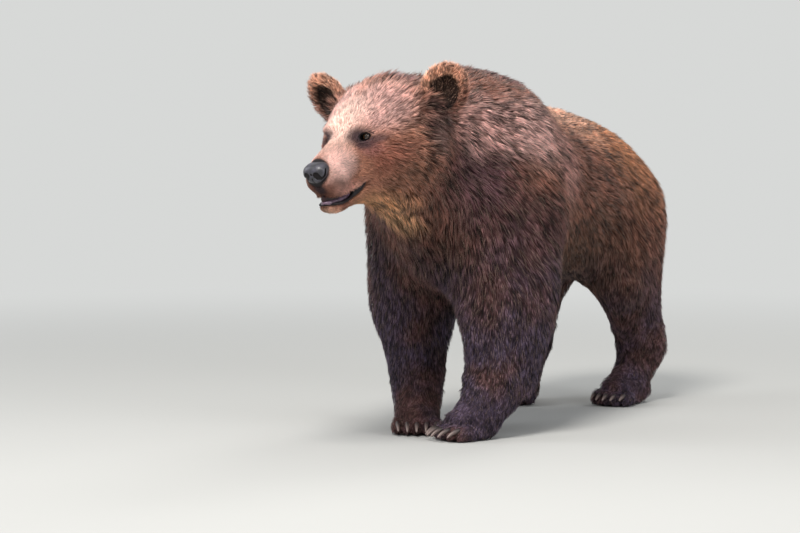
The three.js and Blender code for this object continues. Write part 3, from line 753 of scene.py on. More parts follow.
def markings(place):
    """The coat's colour at a place on the bear."""
    dish_wire = place.attribute("dish")
    ragged = (place.noise(9.0, detail=4.0) - 0.5) * EDGE_NOISE * 2
    colour = linear(*BASE_BROWN)
    height = place.node("ShaderNodeSeparateXYZ", {0: place}, output="Z")
    along_body = Wire(height.tree, height.socket.node.outputs["Y"])
    for node, share, radii, shade, strength in BODY_PATCHES:
        mask = patch(place, in_box(node, share), radii, ragged)
        colour = place.mix(mask * strength, colour, linear(*shade))
    leg_height = height - along_body.step(0.1, -0.12) * FORELEG_RISE + ragged * 0.2
    # The legs are dark brown, with violet patches of painted sheen among the brown.
    dark = place.mix(place.noise(7.0).step(0.35, 0.6), *(linear(*shade) for shade in DARK_LEGS))
    colour = place.mix(leg_height.step(*DARK_LEG_HEIGHTS), colour, dark)
    values = {"Vector": place, "Location": head_frame.translation, "Rotation": head_frame.to_euler()}
    local = place.node("ShaderNodeMapping", values, vector_type="TEXTURE")
    parts = local.node("ShaderNodeSeparateXYZ", {0: local})
    sideways = local.maths("ABSOLUTE", parts)
    y = Wire(local.tree, parts.socket.node.outputs["Y"])
    z = Wire(local.tree, parts.socket.node.outputs["Z"])
    mirrored = local.node("ShaderNodeCombineXYZ", {"X": sideways, "Y": y, "Z": z})
    for centre, radii, shade, strength in HEAD_PATCHES:
        centre, radii = (tuple(v * MM for v in triple) for triple in (centre, radii))
        mask = patch(mirrored, centre, radii, ragged * 0.6)
        colour = mirrored.mix(mask * strength, colour, linear(*shade))
    # The dish of each ear is painted dark: painted shade in its hollow.
    in_dish = (dish_wire + ragged).step(0.02, 0.5)
    colour = place.mix(in_dish * 0.95, colour, linear(*DISH_SHADE))
    # Lighter and darker clouds run through the fur. They are fainter on the face.
    cloudy = 0.42 + 1.1 * (place.noise(22.0, detail=6.0, roughness=0.7) * 3.0 - 1.0).clamped()
    on_face = patch(mirrored, (0, 10 * MM, 0), (180 * MM, 220 * MM, 200 * MM), ragged * 0.6)
    cloudy = cloudy + (0.94 - cloudy) * (on_face * 0.7)
    cloudy = place.node("ShaderNodeCombineXYZ", {"X": cloudy, "Y": cloudy, "Z": cloudy})
    return place.mix(1.0, colour, cloudy, blend="MULTIPLY")


def bump(shader, height, strength, distance):
    """The fine forms of a surface, at most as high as a distance in millimetres."""
    values = {"Height": height, "Strength": strength, "Distance": distance * MM}
    connect(height.node("ShaderNodeBump", values), shader, "Normal")


BARE_SKIN = (0.085, 0.065, 0.075)
UNDER_COAT = (0.5, 0.45, 0.42, 1)  # what is left of the coat's colour on the skin between the locks
skin_material, shader, wire = material("bear_hide")
place = wire.object_place()
bare_wire = wire.attribute("bare")
under_coat = wire.mix(1.0, markings(place), UNDER_COAT, blend="MULTIPLY")
connect(wire.mix(bare_wire, under_coat, linear(*BARE_SKIN)), shader, "Base Color")
connect(0.85 - bare_wire * 0.35, shader, "Roughness")
set_sockets(shader, {"Specular IOR Level": 0.2})
grain = place.noise(700.0, detail=2.0) + place.noise(160.0, detail=2.0) * 2.0
bump(shader, grain, 0.35, 1.2)
skin.data.materials.clear()
skin.data.materials.append(skin_material)

# ---- Eyes ----------------------------------------------------------------------------------------
# An eye is a wet ball with a clear bulge over its brown iris, and looks forwards and outwards. The
# lids are one ring of bare, creased skin: it rests on the ball, folds, and runs under the coat.

EYE_RADIUS = 13 * MM
EYE_TURN = 0.46  # radians outwards from straight ahead
CORNEA = (8 * MM, 1.3 * MM)  # radius and height of the clear bulge
PUPIL_RADIUS = 3.1  # millimetres
IRIS_RADIUS = 7.4
BEHIND_IRIS = 30.0  # what the whole back of the ball has for its distance from the axis
IRIS_COLOURS = ((0.13, 0.08, 0.05), (0.33, 0.22, 0.12))
IRIS_RIM_COLOUR = (0.10, 0.06, 0.06)
PUPIL_COLOUR = (0.015, 0.013, 0.016)
LID_SLANT = 0.2  # radians, outer corner up
LID_OPENING = (11.5, 7.0, 5.2)  # half the width, height above and height below, millimetres
TEAR_DUCT = (6.5, 4.0)  # how far the inner corner runs on, towards the nose and down
LID_REACH = (27, 19)  # half the width and height of the ring of bare skin


def eye_frame(side):
    """The frame of an eye: +X outwards, +Y the way it looks, +Z up. It is mirrored on one side."""
    outer = Vector((side * math.cos(EYE_TURN), math.sin(EYE_TURN), 0))
    gaze = Vector((side * math.sin(EYE_TURN), -math.cos(EYE_TURN), 0))
    axes = head_frame.to_3x3() @ Matrix((outer, gaze, Vector((0, 0, 1)))).transposed()
    made = axes.to_4x4()
    made.translation = middle("left_eye" if side > 0 else "right_eye")
    return made


def bent_grid(across, along, place):
    """A grid bent into a closed skin. place gives the point for shares across and along it."""
    bm = bmesh.new()
    bmesh.ops.create_grid(bm, x_segments=across, y_segments=along, size=0.5)
    for vertex in bm.verts:
        vertex.co = place(vertex.co.x + 0.5, vertex.co.y + 0.5)
    bmesh.ops.remove_doubles(bm, verts=bm.verts, dist=0.005 * MM)
    return bm


def outward(bm):
    bmesh.ops.recalc_face_normals(bm, faces=bm.faces)


def blend_at(share, stops):
    """A value that runs through a list of (share, value) stops."""
    return float(np.interp(share, [stop[0] for stop in stops], [stop[1] for stop in stops]))


# Stops round the section of the lids: the distance out from the opening to the edge of the ring
# (0 to 1), and the height above the ball or the skin, millimetres. The section runs out along the
# front, and comes back underneath.
LID_OUT = [(0, 0), (0.06, 0.02), (0.14, 0.09), (0.22, 0.18), (0.3, 0.28), (0.44, 0.5), (0.58, 0.76)]
LID_OUT += [(0.72, 1.0), (0.8, 1.0), (0.9, 0.4), (1, 0)]
UPPER_LID = [(0, 0.2), (0.06, 1.6), (0.14, 2.5), (0.22, 2.3), (0.3, 0.7), (0.44, 2.0), (0.58, 1.0)]
UPPER_LID += [(0.72, -1.6), (0.8, -4.5), (0.9, -6), (1, 0.2)]
LOWER_LID = [(0, 0.2), (0.06, 1.4), (0.14, 2.0), (0.22, 1.9), (0.3, 1.2), (0.44, 1.6), (0.58, 0.6)]
LOWER_LID += [(0.72, -1.6), (0.8, -4.5), (0.9, -6), (1, 0.2)]

eye_material, eye_shader, eye_wire = material("bear_eye")
off_axis = eye_wire.attribute("off_axis")
place = eye_wire.object_place()
fleck = place.noise(420.0, detail=4.0, roughness=0.7)
iris = place.mix(fleck.step(0.32, 0.7), *(linear(*shade) for shade in IRIS_COLOURS))
rim = (off_axis + fleck * 0.8).step(IRIS_RADIUS + 0.2, IRIS_RADIUS + 1.2)
colour = iris.mix(rim, iris, linear(*IRIS_RIM_COLOUR))
pupil = off_axis.step(PUPIL_RADIUS + 0.35, PUPIL_RADIUS - 0.25)
colour = colour.mix(pupil, colour, linear(*PUPIL_COLOUR))
connect(colour, eye_shader, "Base Color")
wet = {"Roughness": 0.06, "Coat Weight": 0.6, "Specular IOR Level": 0.3, "Coat Roughness": 0.02}
set_sockets(eye_shader, wet)

lid_material, lid_shader, lid_wire = material("bear_eyelid")
margin = lid_wire.attribute("margin")
place = lid_wire.object_place()
mottle = place.noise(130.0, detail=5.0, roughness=0.65)
colour = place.mix(mottle.step(0.34, 0.68), linear(0.17, 0.13, 0.15), linear(0.36, 0.28, 0.31))
colour = colour.mix(margin.step(0.42, 0.9), colour, linear(0.09, 0.07, 0.08))
connect(colour, lid_shader, "Base Color")
connect(0.62 - margin * 0.36, lid_shader, "Roughness")
wrinkle = place.noise(330.0, detail=4.0) + place.noise(900.0, detail=2.0) * 0.5
bump(lid_shader, wrinkle, 0.5, 1.5)

for name, side in (("left_eye", 1), ("right_eye", -1)):
    looking = eye_frame(side)
    ball = bmesh.new()
    bmesh.ops.create_uvsphere(ball, u_segments=48, v_segments=32, radius=EYE_RADIUS)
    forwards = Matrix.Rotation(-math.pi / 2, 3, "X")
    bmesh.ops.rotate(ball, verts=ball.verts, cent=(0, 0, 0), matrix=forwards)
    from_axis = []
    for vertex in ball.verts:
        reach = math.hypot(vertex.co.x, vertex.co.z)
        from_axis.append(reach / MM if vertex.co.y > 0 else BEHIND_IRIS)
        if vertex.co.y > 0 and reach < CORNEA[0]:
            vertex.co.y += CORNEA[1] * (1 - (reach / CORNEA[0]) ** 2) ** 1.5
    bmesh.ops.transform(ball, matrix=looking, verts=ball.verts)
    outward(ball)
    eyeball = finish_bmesh(f"{name}ball", ball)
    add_attribute(eyeball.data, "off_axis", np.array(from_axis))
    eyeball.data.materials.append(eye_material)
    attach(eyeball, "root")
    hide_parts(name)

    gaze = looking.to_3x3() @ Vector((0, 1, 0))

    def lid_place(turn, section):
        angle = turn * 2 * math.pi
        cos, sin = math.cos(angle), math.sin(angle)
        width, above, below = LID_OPENING
        x, z = width * cos, (above if sin > 0 else below) * math.copysign(abs(sin) ** 1.4, sin)
        x -= TEAR_DUCT[0] * max(0.0, -cos) ** 7
        z -= TEAR_DUCT[1] * max(0.0, -cos) ** 4
        out = blend_at(section, LID_OUT)
        x += (LID_REACH[0] * cos - x) * out
        z += (LID_REACH[1] * sin + 1 - z) * out
        level, slope = math.cos(LID_SLANT), math.sin(LID_SLANT)
        x, z = x * level - z * slope, x * slope + z * level
        ball_height = math.sqrt(max((EYE_RADIUS / MM) ** 2 - x * x - z * z, 20.0))
        above_share = 0.5 + 0.5 * math.tanh(3 * sin)
        lift = above_share * blend_at(section, UPPER_LID)
        lift += (1 - above_share) * blend_at(section, LOWER_LID)
        start = looking @ Vector((x * MM, 60 * MM, z * MM))
        hit = skin_tree.ray_cast(start, -gaze)[0]
        skin_height = (looking.inverted() @ hit).y / MM if hit else ball_height
        share = min(1.0, max(0.0, (out - 0.12) / 0.5))
        share = share * share * (3 - 2 * share)
        height = ball_height + (skin_height - ball_height) * share + lift
        return Vector((x, height, z)) * MM

    lids = bent_grid(64, 22, lid_place)
    bmesh.ops.transform(lids, matrix=looking, verts=lids.verts)
    outward(lids)
    lids = finish_bmesh(f"{name}lids", lids)
    inner = (read_places(lids.data) - np.array(looking.translation)) @ np.array(looking.to_3x3())
    reach = np.hypot(inner[:, 0] / 1.25, inner[:, 2]) / MM
    add_attribute(lids.data, "margin", np.clip(1.25 - (reach - 6.0) / 9.0, 0, 1))
    lids.data.materials.append(lid_material)
    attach(lids, "root")

# ---- Nose ----------------------------------------------------------------------------------------
# The nose is a pad of bare, pebbled skin, broad above and narrow below. Each nostril opens to the
# front, and runs out into a slit along the side of the pad. A groove leads down to the lip.

NOSE_PITCH = 0.16
NOSE_SIZE = (34, 27, 27)  # half the width, depth and height, millimetres
NOSE_TAPERS = (0.16, 0.14)  # wider above, and narrower low in front
NOSE_FORMS = [
    # place, radius and height, millimetres; both sides
    ((17, -25, 7), 8, 1.6),  # upper rim of the nostril
    ((31, -13, -2), 9, 1.8),  # wing
    ((0, -27, 2), 6, -1.6),  # furrow between the nostrils
    ((0, -6, 26), 15, -1.6),  # saddle of the top
    ((26, -6, 19), 9, -1.8),  # dip above the wing
    ((9, -26, -16), 6, 1.4),  # pads beside the groove
]
NOSTRIL = [
    # place, radius and depth, millimetres, from the opening out along the slit
    ((15, -25, -1), 7.0, 24),
    ((18, -23, -7), 6.6, 20),
    ((23, -20, -12), 4.2, 11),
    ((28, -15, -10), 2.8, 8),
    ((31, -11, -4), 2.4, 7),
    ((33, -8, 3), 2.2, 6),
    ((33, -5, 10), 1.9, 4.5),
]
NOSTRIL_WAY = (0.25, 1.0, 0.15)  # a nostril runs inwards, back and up
NOSTRIL_DEEP = 6  # shallower dips follow the surface instead
GROOVE = [((0, -28, -10), 2.3, 1.4), ((0, -26, -16), 2.3, 1.7), ((0, -20, -26), 2.3, 2.0)]


def dense(path, steps=14):
    """The stops of a path, with more of them between."""
    stops = [(Vector(place), radius, depth) for place, radius, depth in path]
    for (a, r0, d0), (b, r1, d1) in zip(stops, stops[1:]):
        for step in range(steps):
            share = step / steps
            yield a.lerp(b, share), r0 + (r1 - r0) * share, d0 + (d1 - d0) * share


nose_frame = head_frame @ Matrix.Translation(Vector(NOSE_AT) * MM)
nose_frame = nose_frame @ Matrix.Rotation(NOSE_PITCH, 4, "X")
nose_bmesh = bmesh.new()
bmesh.ops.create_icosphere(nose_bmesh, subdivisions=5, radius=1)
for vertex in nose_bmesh.verts:
    x, y, z = (math.copysign(abs(v) ** 0.8, v) for v in vertex.co)
    low, ahead = max(0.0, -vertex.co.z), max(0.0, -vertex.co.y)
    width = NOSE_SIZE[0] * (1 + NOSE_TAPERS[0] * vertex.co.z)
    width = width * (1 - NOSE_TAPERS[1] * low * ahead)
    vertex.co = Vector((x * width, y * NOSE_SIZE[1], z * NOSE_SIZE[2]))
for reach in (14, 9):
    near = [
        edge
        for edge in nose_bmesh.edges
        if any((edge.verts[0].co - Vector((side * x, y, z))).length < reach * 0.55 + 2
               for (x, y, z), radius, depth in NOSTRIL for side in (1, -1))
        or (abs(edge.verts[0].co.x) < reach * 0.3 and edge.verts[0].co.y < -8)
    ]
    bmesh.ops.subdivide_edges(nose_bmesh, edges=near, cuts=1, use_grid_fill=True)
    bmesh.ops.triangulate(nose_bmesh, faces=nose_bmesh.faces)
nose_bmesh.normal_update()
shape = np.array([vertex.co for vertex in nose_bmesh.verts])
raised = swell(shape, NOSE_FORMS, 1)
sunk = np.zeros(len(shape))
for path in (NOSTRIL, GROOVE):
    for place, radius, depth in dense(path):
        for side in (1, -1):
            nearest = np.linalg.norm(shape - np.array(place) * (side, 1, 1), axis=1).argmin()
            away = np.linalg.norm(shape - shape[nearest], axis=1)
            sunk = np.maximum(sunk, depth * np.exp(-((away / radius) ** 6)))
normals = np.array([vertex.normal for vertex in nose_bmesh.verts])
inwards = np.tile(NOSTRIL_WAY, (len(shape), 1))
inwards[:, 0] *= -np.sign(shape[:, 0])
deep = np.clip(sunk / NOSTRIL_DEEP, 0, 1)[:, None]
inwards = unit(unit(inwards) * deep - normals * (1.05 - deep))
shape += normals * raised[:, None] + inwards * sunk[:, None]
for vertex, place in zip(nose_bmesh.verts, shape):
    vertex.co = nose_frame @ (Vector(place) * MM)
outward(nose_bmesh)
nose = finish_bmesh("bear_nose", nose_bmesh)
add_attribute(nose.data, "sunk", np.clip(sunk / 5, 0, 1))
nose_material, nose_shader, wire = material("bear_nose_skin")
place = wire.object_place()
sunk_wire = wire.attribute("sunk")
pebbles = place.node("ShaderNodeTexVoronoi", {"Vector": place, "Scale": 620.0}, output="Distance")
cloud = place.noise(60.0, detail=4.0)
colour = place.mix(cloud.step(0.35, 0.7), linear(0.15, 0.145, 0.17), linear(0.27, 0.26, 0.31))
colour = colour.mix(pebbles.step(0.25, 0.75) * 0.45, colour, linear(0.12, 0.115, 0.14))
# Painted shade: the pad is darkened to near black where it sinks into the nostrils, and less in the groove
# below them.
colour = colour.mix(sunk_wire.step(0.1, 0.6), colour, linear(0.02, 0.017, 0.02))
connect(colour, nose_shader, "Base Color")
connect((0.36 + cloud * 0.16 + sunk_wire * 0.5).clamped(), nose_shader, "Roughness")
connect(0.25 * (1.0 - sunk_wire), nose_shader, "Coat Weight")
set_sockets(nose_shader, {"Coat Roughness": 0.3})
grain = (1.0 - pebbles) + place.noise(1500.0, detail=2.0) * 0.4
bump(nose_shader, grain, 0.4, 0.7)
nose.data.materials.append(nose_material)
# The deep hollow of each nostril gets a near-black material: painted shade inside it.
nostril_shade_material, shader, wire = material("bear_nostril")
place = wire.object_place()
colour = place.mix(place.noise(200.0), linear(0.02, 0.015, 0.018), linear(0.07, 0.055, 0.06))
connect(colour, shader, "Base Color")
set_sockets(shader, {"Roughness": 0.9, "Specular IOR Level": 0.1})
nose.data.materials.append(nostril_shade_material)
HOLLOW_FROM = 3.4  # millimetres deep, where the pad turns into the nostril
for face in nose.data.polygons:
    face.material_index = int(sunk[list(face.vertices)].mean() > HOLLOW_FROM)
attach(nose, "root")
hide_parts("nose")

# ---- Mouth ---------------------------------------------------------------------------------------
# Behind the parted lips lie a wet, grooved tongue and the roof of the mouth, which is dark partly
# in its own colour and partly with painted shade. The lower lip is a bare, wet roll of skin along
# the edge of the jaw.

mouth_material, mouth_shader, wire = material("bear_mouth_skin")
place = wire.object_place()
cloud = place.noise(90.0, detail=4.0)
colour = place.mix(cloud.step(0.3, 0.7), linear(0.29, 0.22, 0.28), linear(0.48, 0.37, 0.45))
connect(colour, mouth_shader, "Base Color")
set_sockets(mouth_shader, {"Roughness": 0.3, "Coat Weight": 0.5, "Coat Roughness": 0.15})
grain = place.noise(800.0, detail=3.0)
bump(mouth_shader, grain, 0.3, 0.6)

# The roof is dark: partly its own colour, partly painted shade inside the mouth.
roof_shade_material, roof_shade_shader, wire = material("bear_mouth_dark")
place = wire.object_place()
cloud = place.noise(120.0, detail=3.0)
colour = place.mix(cloud, linear(0.10, 0.05, 0.06), linear(0.24, 0.13, 0.14))
connect(colour, roof_shade_shader, "Base Color")
set_sockets(roof_shade_shader, {"Roughness": 0.45})
bump(roof_shade_shader, cloud, 0.4, 1.5)

tongue_low, tongue_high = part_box("tongue")
tongue_middle = (tongue_low + tongue_high) / 2
TONGUE_SIZE = (24 * MM, 61 * MM, 9.5 * MM)
TONGUE_DROOP = 5 * MM  # of its tip and its root
TONGUE_PITCH = 0.06
tongue_frame = head_frame @ Matrix.Rotation(TONGUE_PITCH, 4, "X")
tongue_frame.translation = tongue_middle
tongue_bmesh = bmesh.new()
bmesh.ops.create_uvsphere(tongue_bmesh, u_segments=48, v_segments=32, radius=1)
for vertex in tongue_bmesh.verts:
    x, y, z = vertex.co
    groove = 0.32 * math.exp(-((x / 0.16) ** 2)) * max(0.0, z)
    height = (z - groove) * TONGUE_SIZE[2] - TONGUE_DROOP * y * y
    vertex.co = Vector((x * TONGUE_SIZE[0], y * TONGUE_SIZE[1], height))
bmesh.ops.transform(tongue_bmesh, matrix=tongue_frame, verts=tongue_bmesh.verts)
tongue = finish_bmesh("bear_tongue", tongue_bmesh)
tongue.data.materials.append(mouth_material)
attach(tongue, "root")
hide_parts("tongue")


WIDTH_FROM = -134 * MM  # the mouth's width is read no further forward than this
ROOF_FRONT, ROOF_LENGTH = -151, 157  # millimetres, in the head's frame
ROOF_INSET = 10 * MM  # from the muzzle's side
ROOF_MOST = 17 * MM  # half its width


def mouth_half_width(y, height):
    """Half the width of the muzzle or the jaw, at a place in the head's frame."""
    start = Vector(from_head(np.array((0, y, height))))
    hit = skin_tree.ray_cast(start, Vector(HEAD_AXES[:, 0]))
    return hit[3] if hit[0] else 20 * MM


def roof_place(turn, share):
    """The roof of the mouth: a lobe that fills the gap between the jaws, well behind the lips."""
    angle = turn * 2 * math.pi
    y = ROOF_FRONT * MM + share * ROOF_LENGTH * MM
    upper, lower = lip_heights(y)
    half = min(mouth_half_width(max(y, WIDTH_FROM), upper + 6 * MM) - ROOF_INSET, ROOF_MOST)
    round_end = math.sin(math.pi * min(max(share, 0.0), 1.0)) ** 0.2
    middle_height, half_height = (upper + lower) / 2 + 2 * MM, (upper - lower) / 2 + 7 * MM
    z = middle_height + math.sin(angle) * half_height * round_end
    return Vector((math.cos(angle) * half * round_end, y, z))


roof_bmesh = bent_grid(32, 24, roof_place)
bmesh.ops.transform(roof_bmesh, matrix=head_frame, verts=roof_bmesh.verts)
outward(roof_bmesh)
roof = finish_bmesh("mouth_roof", roof_bmesh)
roof.data.materials.append(roof_shade_material)
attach(roof, "root")

LIP_INSET = 4.5 * MM
LIP_FRONT = -143 * MM  # the roll's foremost point, in the head's frame
LIP_RADIUS = (3.2, 4.6)  # at the chin and the corners, and what it gains between, millimetres
LIP_FLATNESS = 0.9  # its width, as a share of its height
LIP_PASSES = 40


def lower_lip_path(share):
    """A point of the lower lip from one corner of the mouth round the chin to the other."""
    side = -1 if share < 0.5 else 1
    run = abs(share - 0.5) * 2  # 0 at the chin, 1 at the corner
    y = LIP_FRONT + (LIP_CORNER[0] - LIP_FRONT) * run**1.6
    upper, lower = lip_heights(y)
    round_chin = min(1.0, run / 0.4)
    half = mouth_half_width(max(y, WIDTH_FROM), lower - 6 * MM) - LIP_INSET
    half *= math.sin(round_chin * math.pi / 2) ** 0.7
    return np.array((side * half, y, lower))


lip_path = np.array([lower_lip_path(share) for share in np.linspace(0, 1, 121)])
for turn in range(LIP_PASSES):
    lip_path[1:-1] += 0.5 * ((lip_path[:-2] + lip_path[2:]) / 2 - lip_path[1:-1])


def lip_roll_place(turn, share):
    at = share * (len(lip_path) - 1)
    low = min(int(at), len(lip_path) - 2)
    centre = lip_path[low] + (lip_path[low + 1] - lip_path[low]) * (at - low)
    run = abs(share - 0.5) * 2
    gain = math.sin(math.pi * min(1.0, run * 1.05)) ** 1.5
    radius = (LIP_RADIUS[0] + LIP_RADIUS[1] * gain) * MM * max(0.0, 1 - run**8) ** 0.5
    tangent = lip_path[low + 1] - lip_path[low]
    sideways = unit(np.cross(tangent, (0, 0, 1))[None])[0]
    angle = turn * 2 * math.pi
    upwards = np.array((0, 0, 1))
    at_side = centre + sideways * math.cos(angle) * radius * LIP_FLATNESS
    return Vector(at_side + upwards * math.sin(angle) * radius)


lip_bmesh = bent_grid(20, 120, lip_roll_place)
bmesh.ops.transform(lip_bmesh, matrix=head_frame, verts=lip_bmesh.verts)
outward(lip_bmesh)
lower_lip = finish_bmesh("lower_lip", lip_bmesh)
lower_lip.data.materials.append(mouth_material)
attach(lower_lip, "root")

# ---- Claws ---------------------------------------------------------------------------------------
# Five curved claws stand on each foot. They are horn, nearly black at the root and paler towards
# the worn point. Each is rounded off from the solid claw, and keeps about its size.

claw_material, claw_shader, wire = material("bear_claw_horn")
place = wire.object_place()
tipward = wire.attribute("tipward")
streak = place.noise(260.0, detail=4.0, roughness=0.6)
paler = (tipward + (streak - 0.5) * 0.5).step(0.1, 0.95)
colour = place.mix(paler, linear(0.14, 0.11, 0.11), linear(0.49, 0.42, 0.40))
connect(colour, claw_shader, "Base Color")
connect(0.3 + streak * 0.3, claw_shader, "Roughness")
bump(claw_shader, streak, 0.25, 0.8)
CLAW_LEVELS = 3
CLAW_SWELL = 1.6 * MM  # makes up for what the rounding takes off

for leg in LEGS:
    for i in range(1, 6):
        node = f"{leg}_claw_{i}"
        claw_bmesh = bmesh.new()
        claw_bmesh.from_mesh(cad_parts[node].data)
        bmesh.ops.remove_doubles(claw_bmesh, verts=claw_bmesh.verts, dist=0.02 * MM)
        claw = finish_bmesh(f"{node}_horn", claw_bmesh)
        rounding = claw.modifiers.new("round", "SUBSURF")
        rounding.levels = rounding.render_levels = CLAW_LEVELS
        apply_modifiers(claw)
        places = read_places(claw.data) + read_normals(claw.data) * CLAW_SWELL
        write_places(claw.data, places)
        claw_way = in_box(node, (0.5, 0, 0)) - in_box(node, (0.5, 1, 1))
        root_to_tip = (places - places.mean(axis=0)) @ claw_way
        add_attribute(claw.data, "tipward", (root_to_tip - root_to_tip.min()) / np.ptp(root_to_tip))
        claw.data.materials.clear()
        claw.data.materials.append(claw_material)
        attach(claw, "root")
        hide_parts(node)

# ---- Coat ----------------------------------------------------------------------------------------
# The coat is about 259,000 locks. Each is a thin closed spindle: it springs from the skin,
# bends over at its widest place and ends in a point. Locks lie along the body, gather in clumps,
# and are longer the deeper the coat is. Finer guard hairs stand among them.

FORELEGS = [f"front_{side}_{part}" for side in ("left", "right") for part in ("upper_leg", "forearm")]
HIND_LEGS = [f"hind_{side}_{part}" for side in ("left", "right") for part in ("thigh", "shank")]
HEAD_NODES = ["head", "muzzle", "lower_jaw", "nose"]
COATS = {
    # piece: the nodes that it lies over, between two places along the body, layers of locks
    "coat_of_muzzle": (["muzzle", "lower_jaw", "nose"], -9, 9, 2.3),
    "coat_of_head": (["head"], -9, 9, 2.7),
    "coat_of_ears": (EARS, -9, 9, 2.3),
    "coat_of_neck": (["neck"], -9, 9, 2.9),
    "coat_of_shoulders": (["trunk"], -9, -0.02, 2.9),
    "coat_of_flanks": (["trunk"], -0.02, 0.42, 2.3),
    "coat_of_rump": (["trunk", "tail"], 0.42, 9, 2.3),
    "coat_of_forelegs": (FORELEGS, -9, 9, 2.3),
    "coat_of_hind_legs": (HIND_LEGS, -9, 9, 2.0),
    "coat_of_paws": (PAWS, -9, 9, 1.3),
}
MOST_LOCKS = 33000  # in one piece of the coat
LOCK_FILL = 0.55  # a lock's area, as a share of its length times its width
LOCK_LENGTH = (2.2, 3.4 * MM)  # for each unit of the coat's depth, and on top of that
LOCK_WIDTH = (0.031, 0.65 * MM)  # for each unit of its length, and on top of that
LOCK_SPREAD = (0.75, 1.2)  # of lengths and widths
GUARD_SHARE = 0.2
VEER_WAVES = ((0.22, 0.09), (0.16, 0.03))  # how far locks turn aside together, and over what length
VEER_SPREAD = 0.14  # how far each turns by itself
CLUMP_SIZE = 5  # locks
CLUMP_PULL = 0.66  # how far the tips are drawn to their clump's own
CLUMP_PULL_SPREAD = (0.4, 1.0)
EAR_CLUMPING = 0.3
TONE_SHARES = (0.74, 0.26)  # of a clump, and of each lock in it
LOCK_FLATNESS = 0.7  # its thickness, as a share of its width
BEND_AT = 0.42  # where along its length a lock is widest
RISE = (math.radians(38), math.radians(15))  # of a lock's two lengths, above the skin
ROOT_SUNK = 1.2 * MM
SHORT_COAT = 20 * MM  # on the head, a coat shallower than this is smoother in its colour
FLOOR_CLEARANCE = 0.5 * MM
BAKE_PATCH = 0.003  # size of a lock in the coat's unwrap
LOCK_TRIANGLES = np.array(
    [(0, 2, 1), (0, 3, 2), (0, 1, 3), (4, 1, 2), (4, 2, 3), (4, 3, 1)]
)  # root, three round the widest place, tip
LOCK_UV = np.array([(0, -0.5), (-0.5, 0), (0, 0.15), (0.5, 0), (0, 0.5)]) * BAKE_PATCH
POINTS, FACES, CORNERS = len(LOCK_UV), len(LOCK_TRIANGLES), LOCK_TRIANGLES.size  # of one lock
rng = np.random.default_rng(7)


def lock_size(depth):
    """A lock's length and width in a coat of this depth."""
    length = depth * LOCK_LENGTH[0] + LOCK_LENGTH[1]
    return length, LOCK_WIDTH[1] + LOCK_WIDTH[0] * length


wave_rng = np.random.default_rng(11)
WAVES = [(unit(wave_rng.normal(size=(1, 3)))[0], wave_rng.uniform(0, 6.28)) for _ in range(7)]


def waves(places, length):
    """Smooth noise between -1 and 1, with waves of about the given length."""
    total = sum(
        np.sin(places @ way * (6.28 / length) * (0.6 + 0.13 * i) + phase)
        for i, (way, phase) in enumerate(WAVES)
    )
    return total / 3.5


skin_normals = read_normals(skin.data)
triangle_owner = np.array(
    [solid_owner[solid_tree.find_nearest(Vector(place))[2]] for place in skin_places[triangles].mean(axis=1)]
)
EAR_ROOT = np.array((0, 0, -0.02, 1))  # the point that the hair of an ear spreads from, in its frame


def unwrap(name, corners):
    """The UV places of a patch of skin's own triangles, unwrapped."""
    bm = bmesh.new()
    for triangle in corners:
        bm.faces.new([bm.verts.new(corner) for corner in triangle])
    bmesh.ops.remove_doubles(bm, verts=bm.verts, dist=0.01 * MM)
    patch_of_skin = finish_bmesh(name, bm)
    for other in bpy.context.selected_objects:
        other.select_set(False)
    patch_of_skin.select_set(True)
    bpy.context.view_layer.objects.active = patch_of_skin
    bpy.ops.object.mode_set(mode="EDIT")
    bpy.ops.mesh.select_all(action="SELECT")
    bpy.ops.uv.smart_project(angle_limit=1.15, island_margin=0.004)
    bpy.ops.object.mode_set(mode="OBJECT")
    places = np.empty(2 * len(patch_of_skin.data.loops), np.float32)
    patch_of_skin.data.uv_layers.active.data.foreach_get("uv", places)
    bpy.data.objects.remove(patch_of_skin)
    return places.reshape(-1, 3, 2)


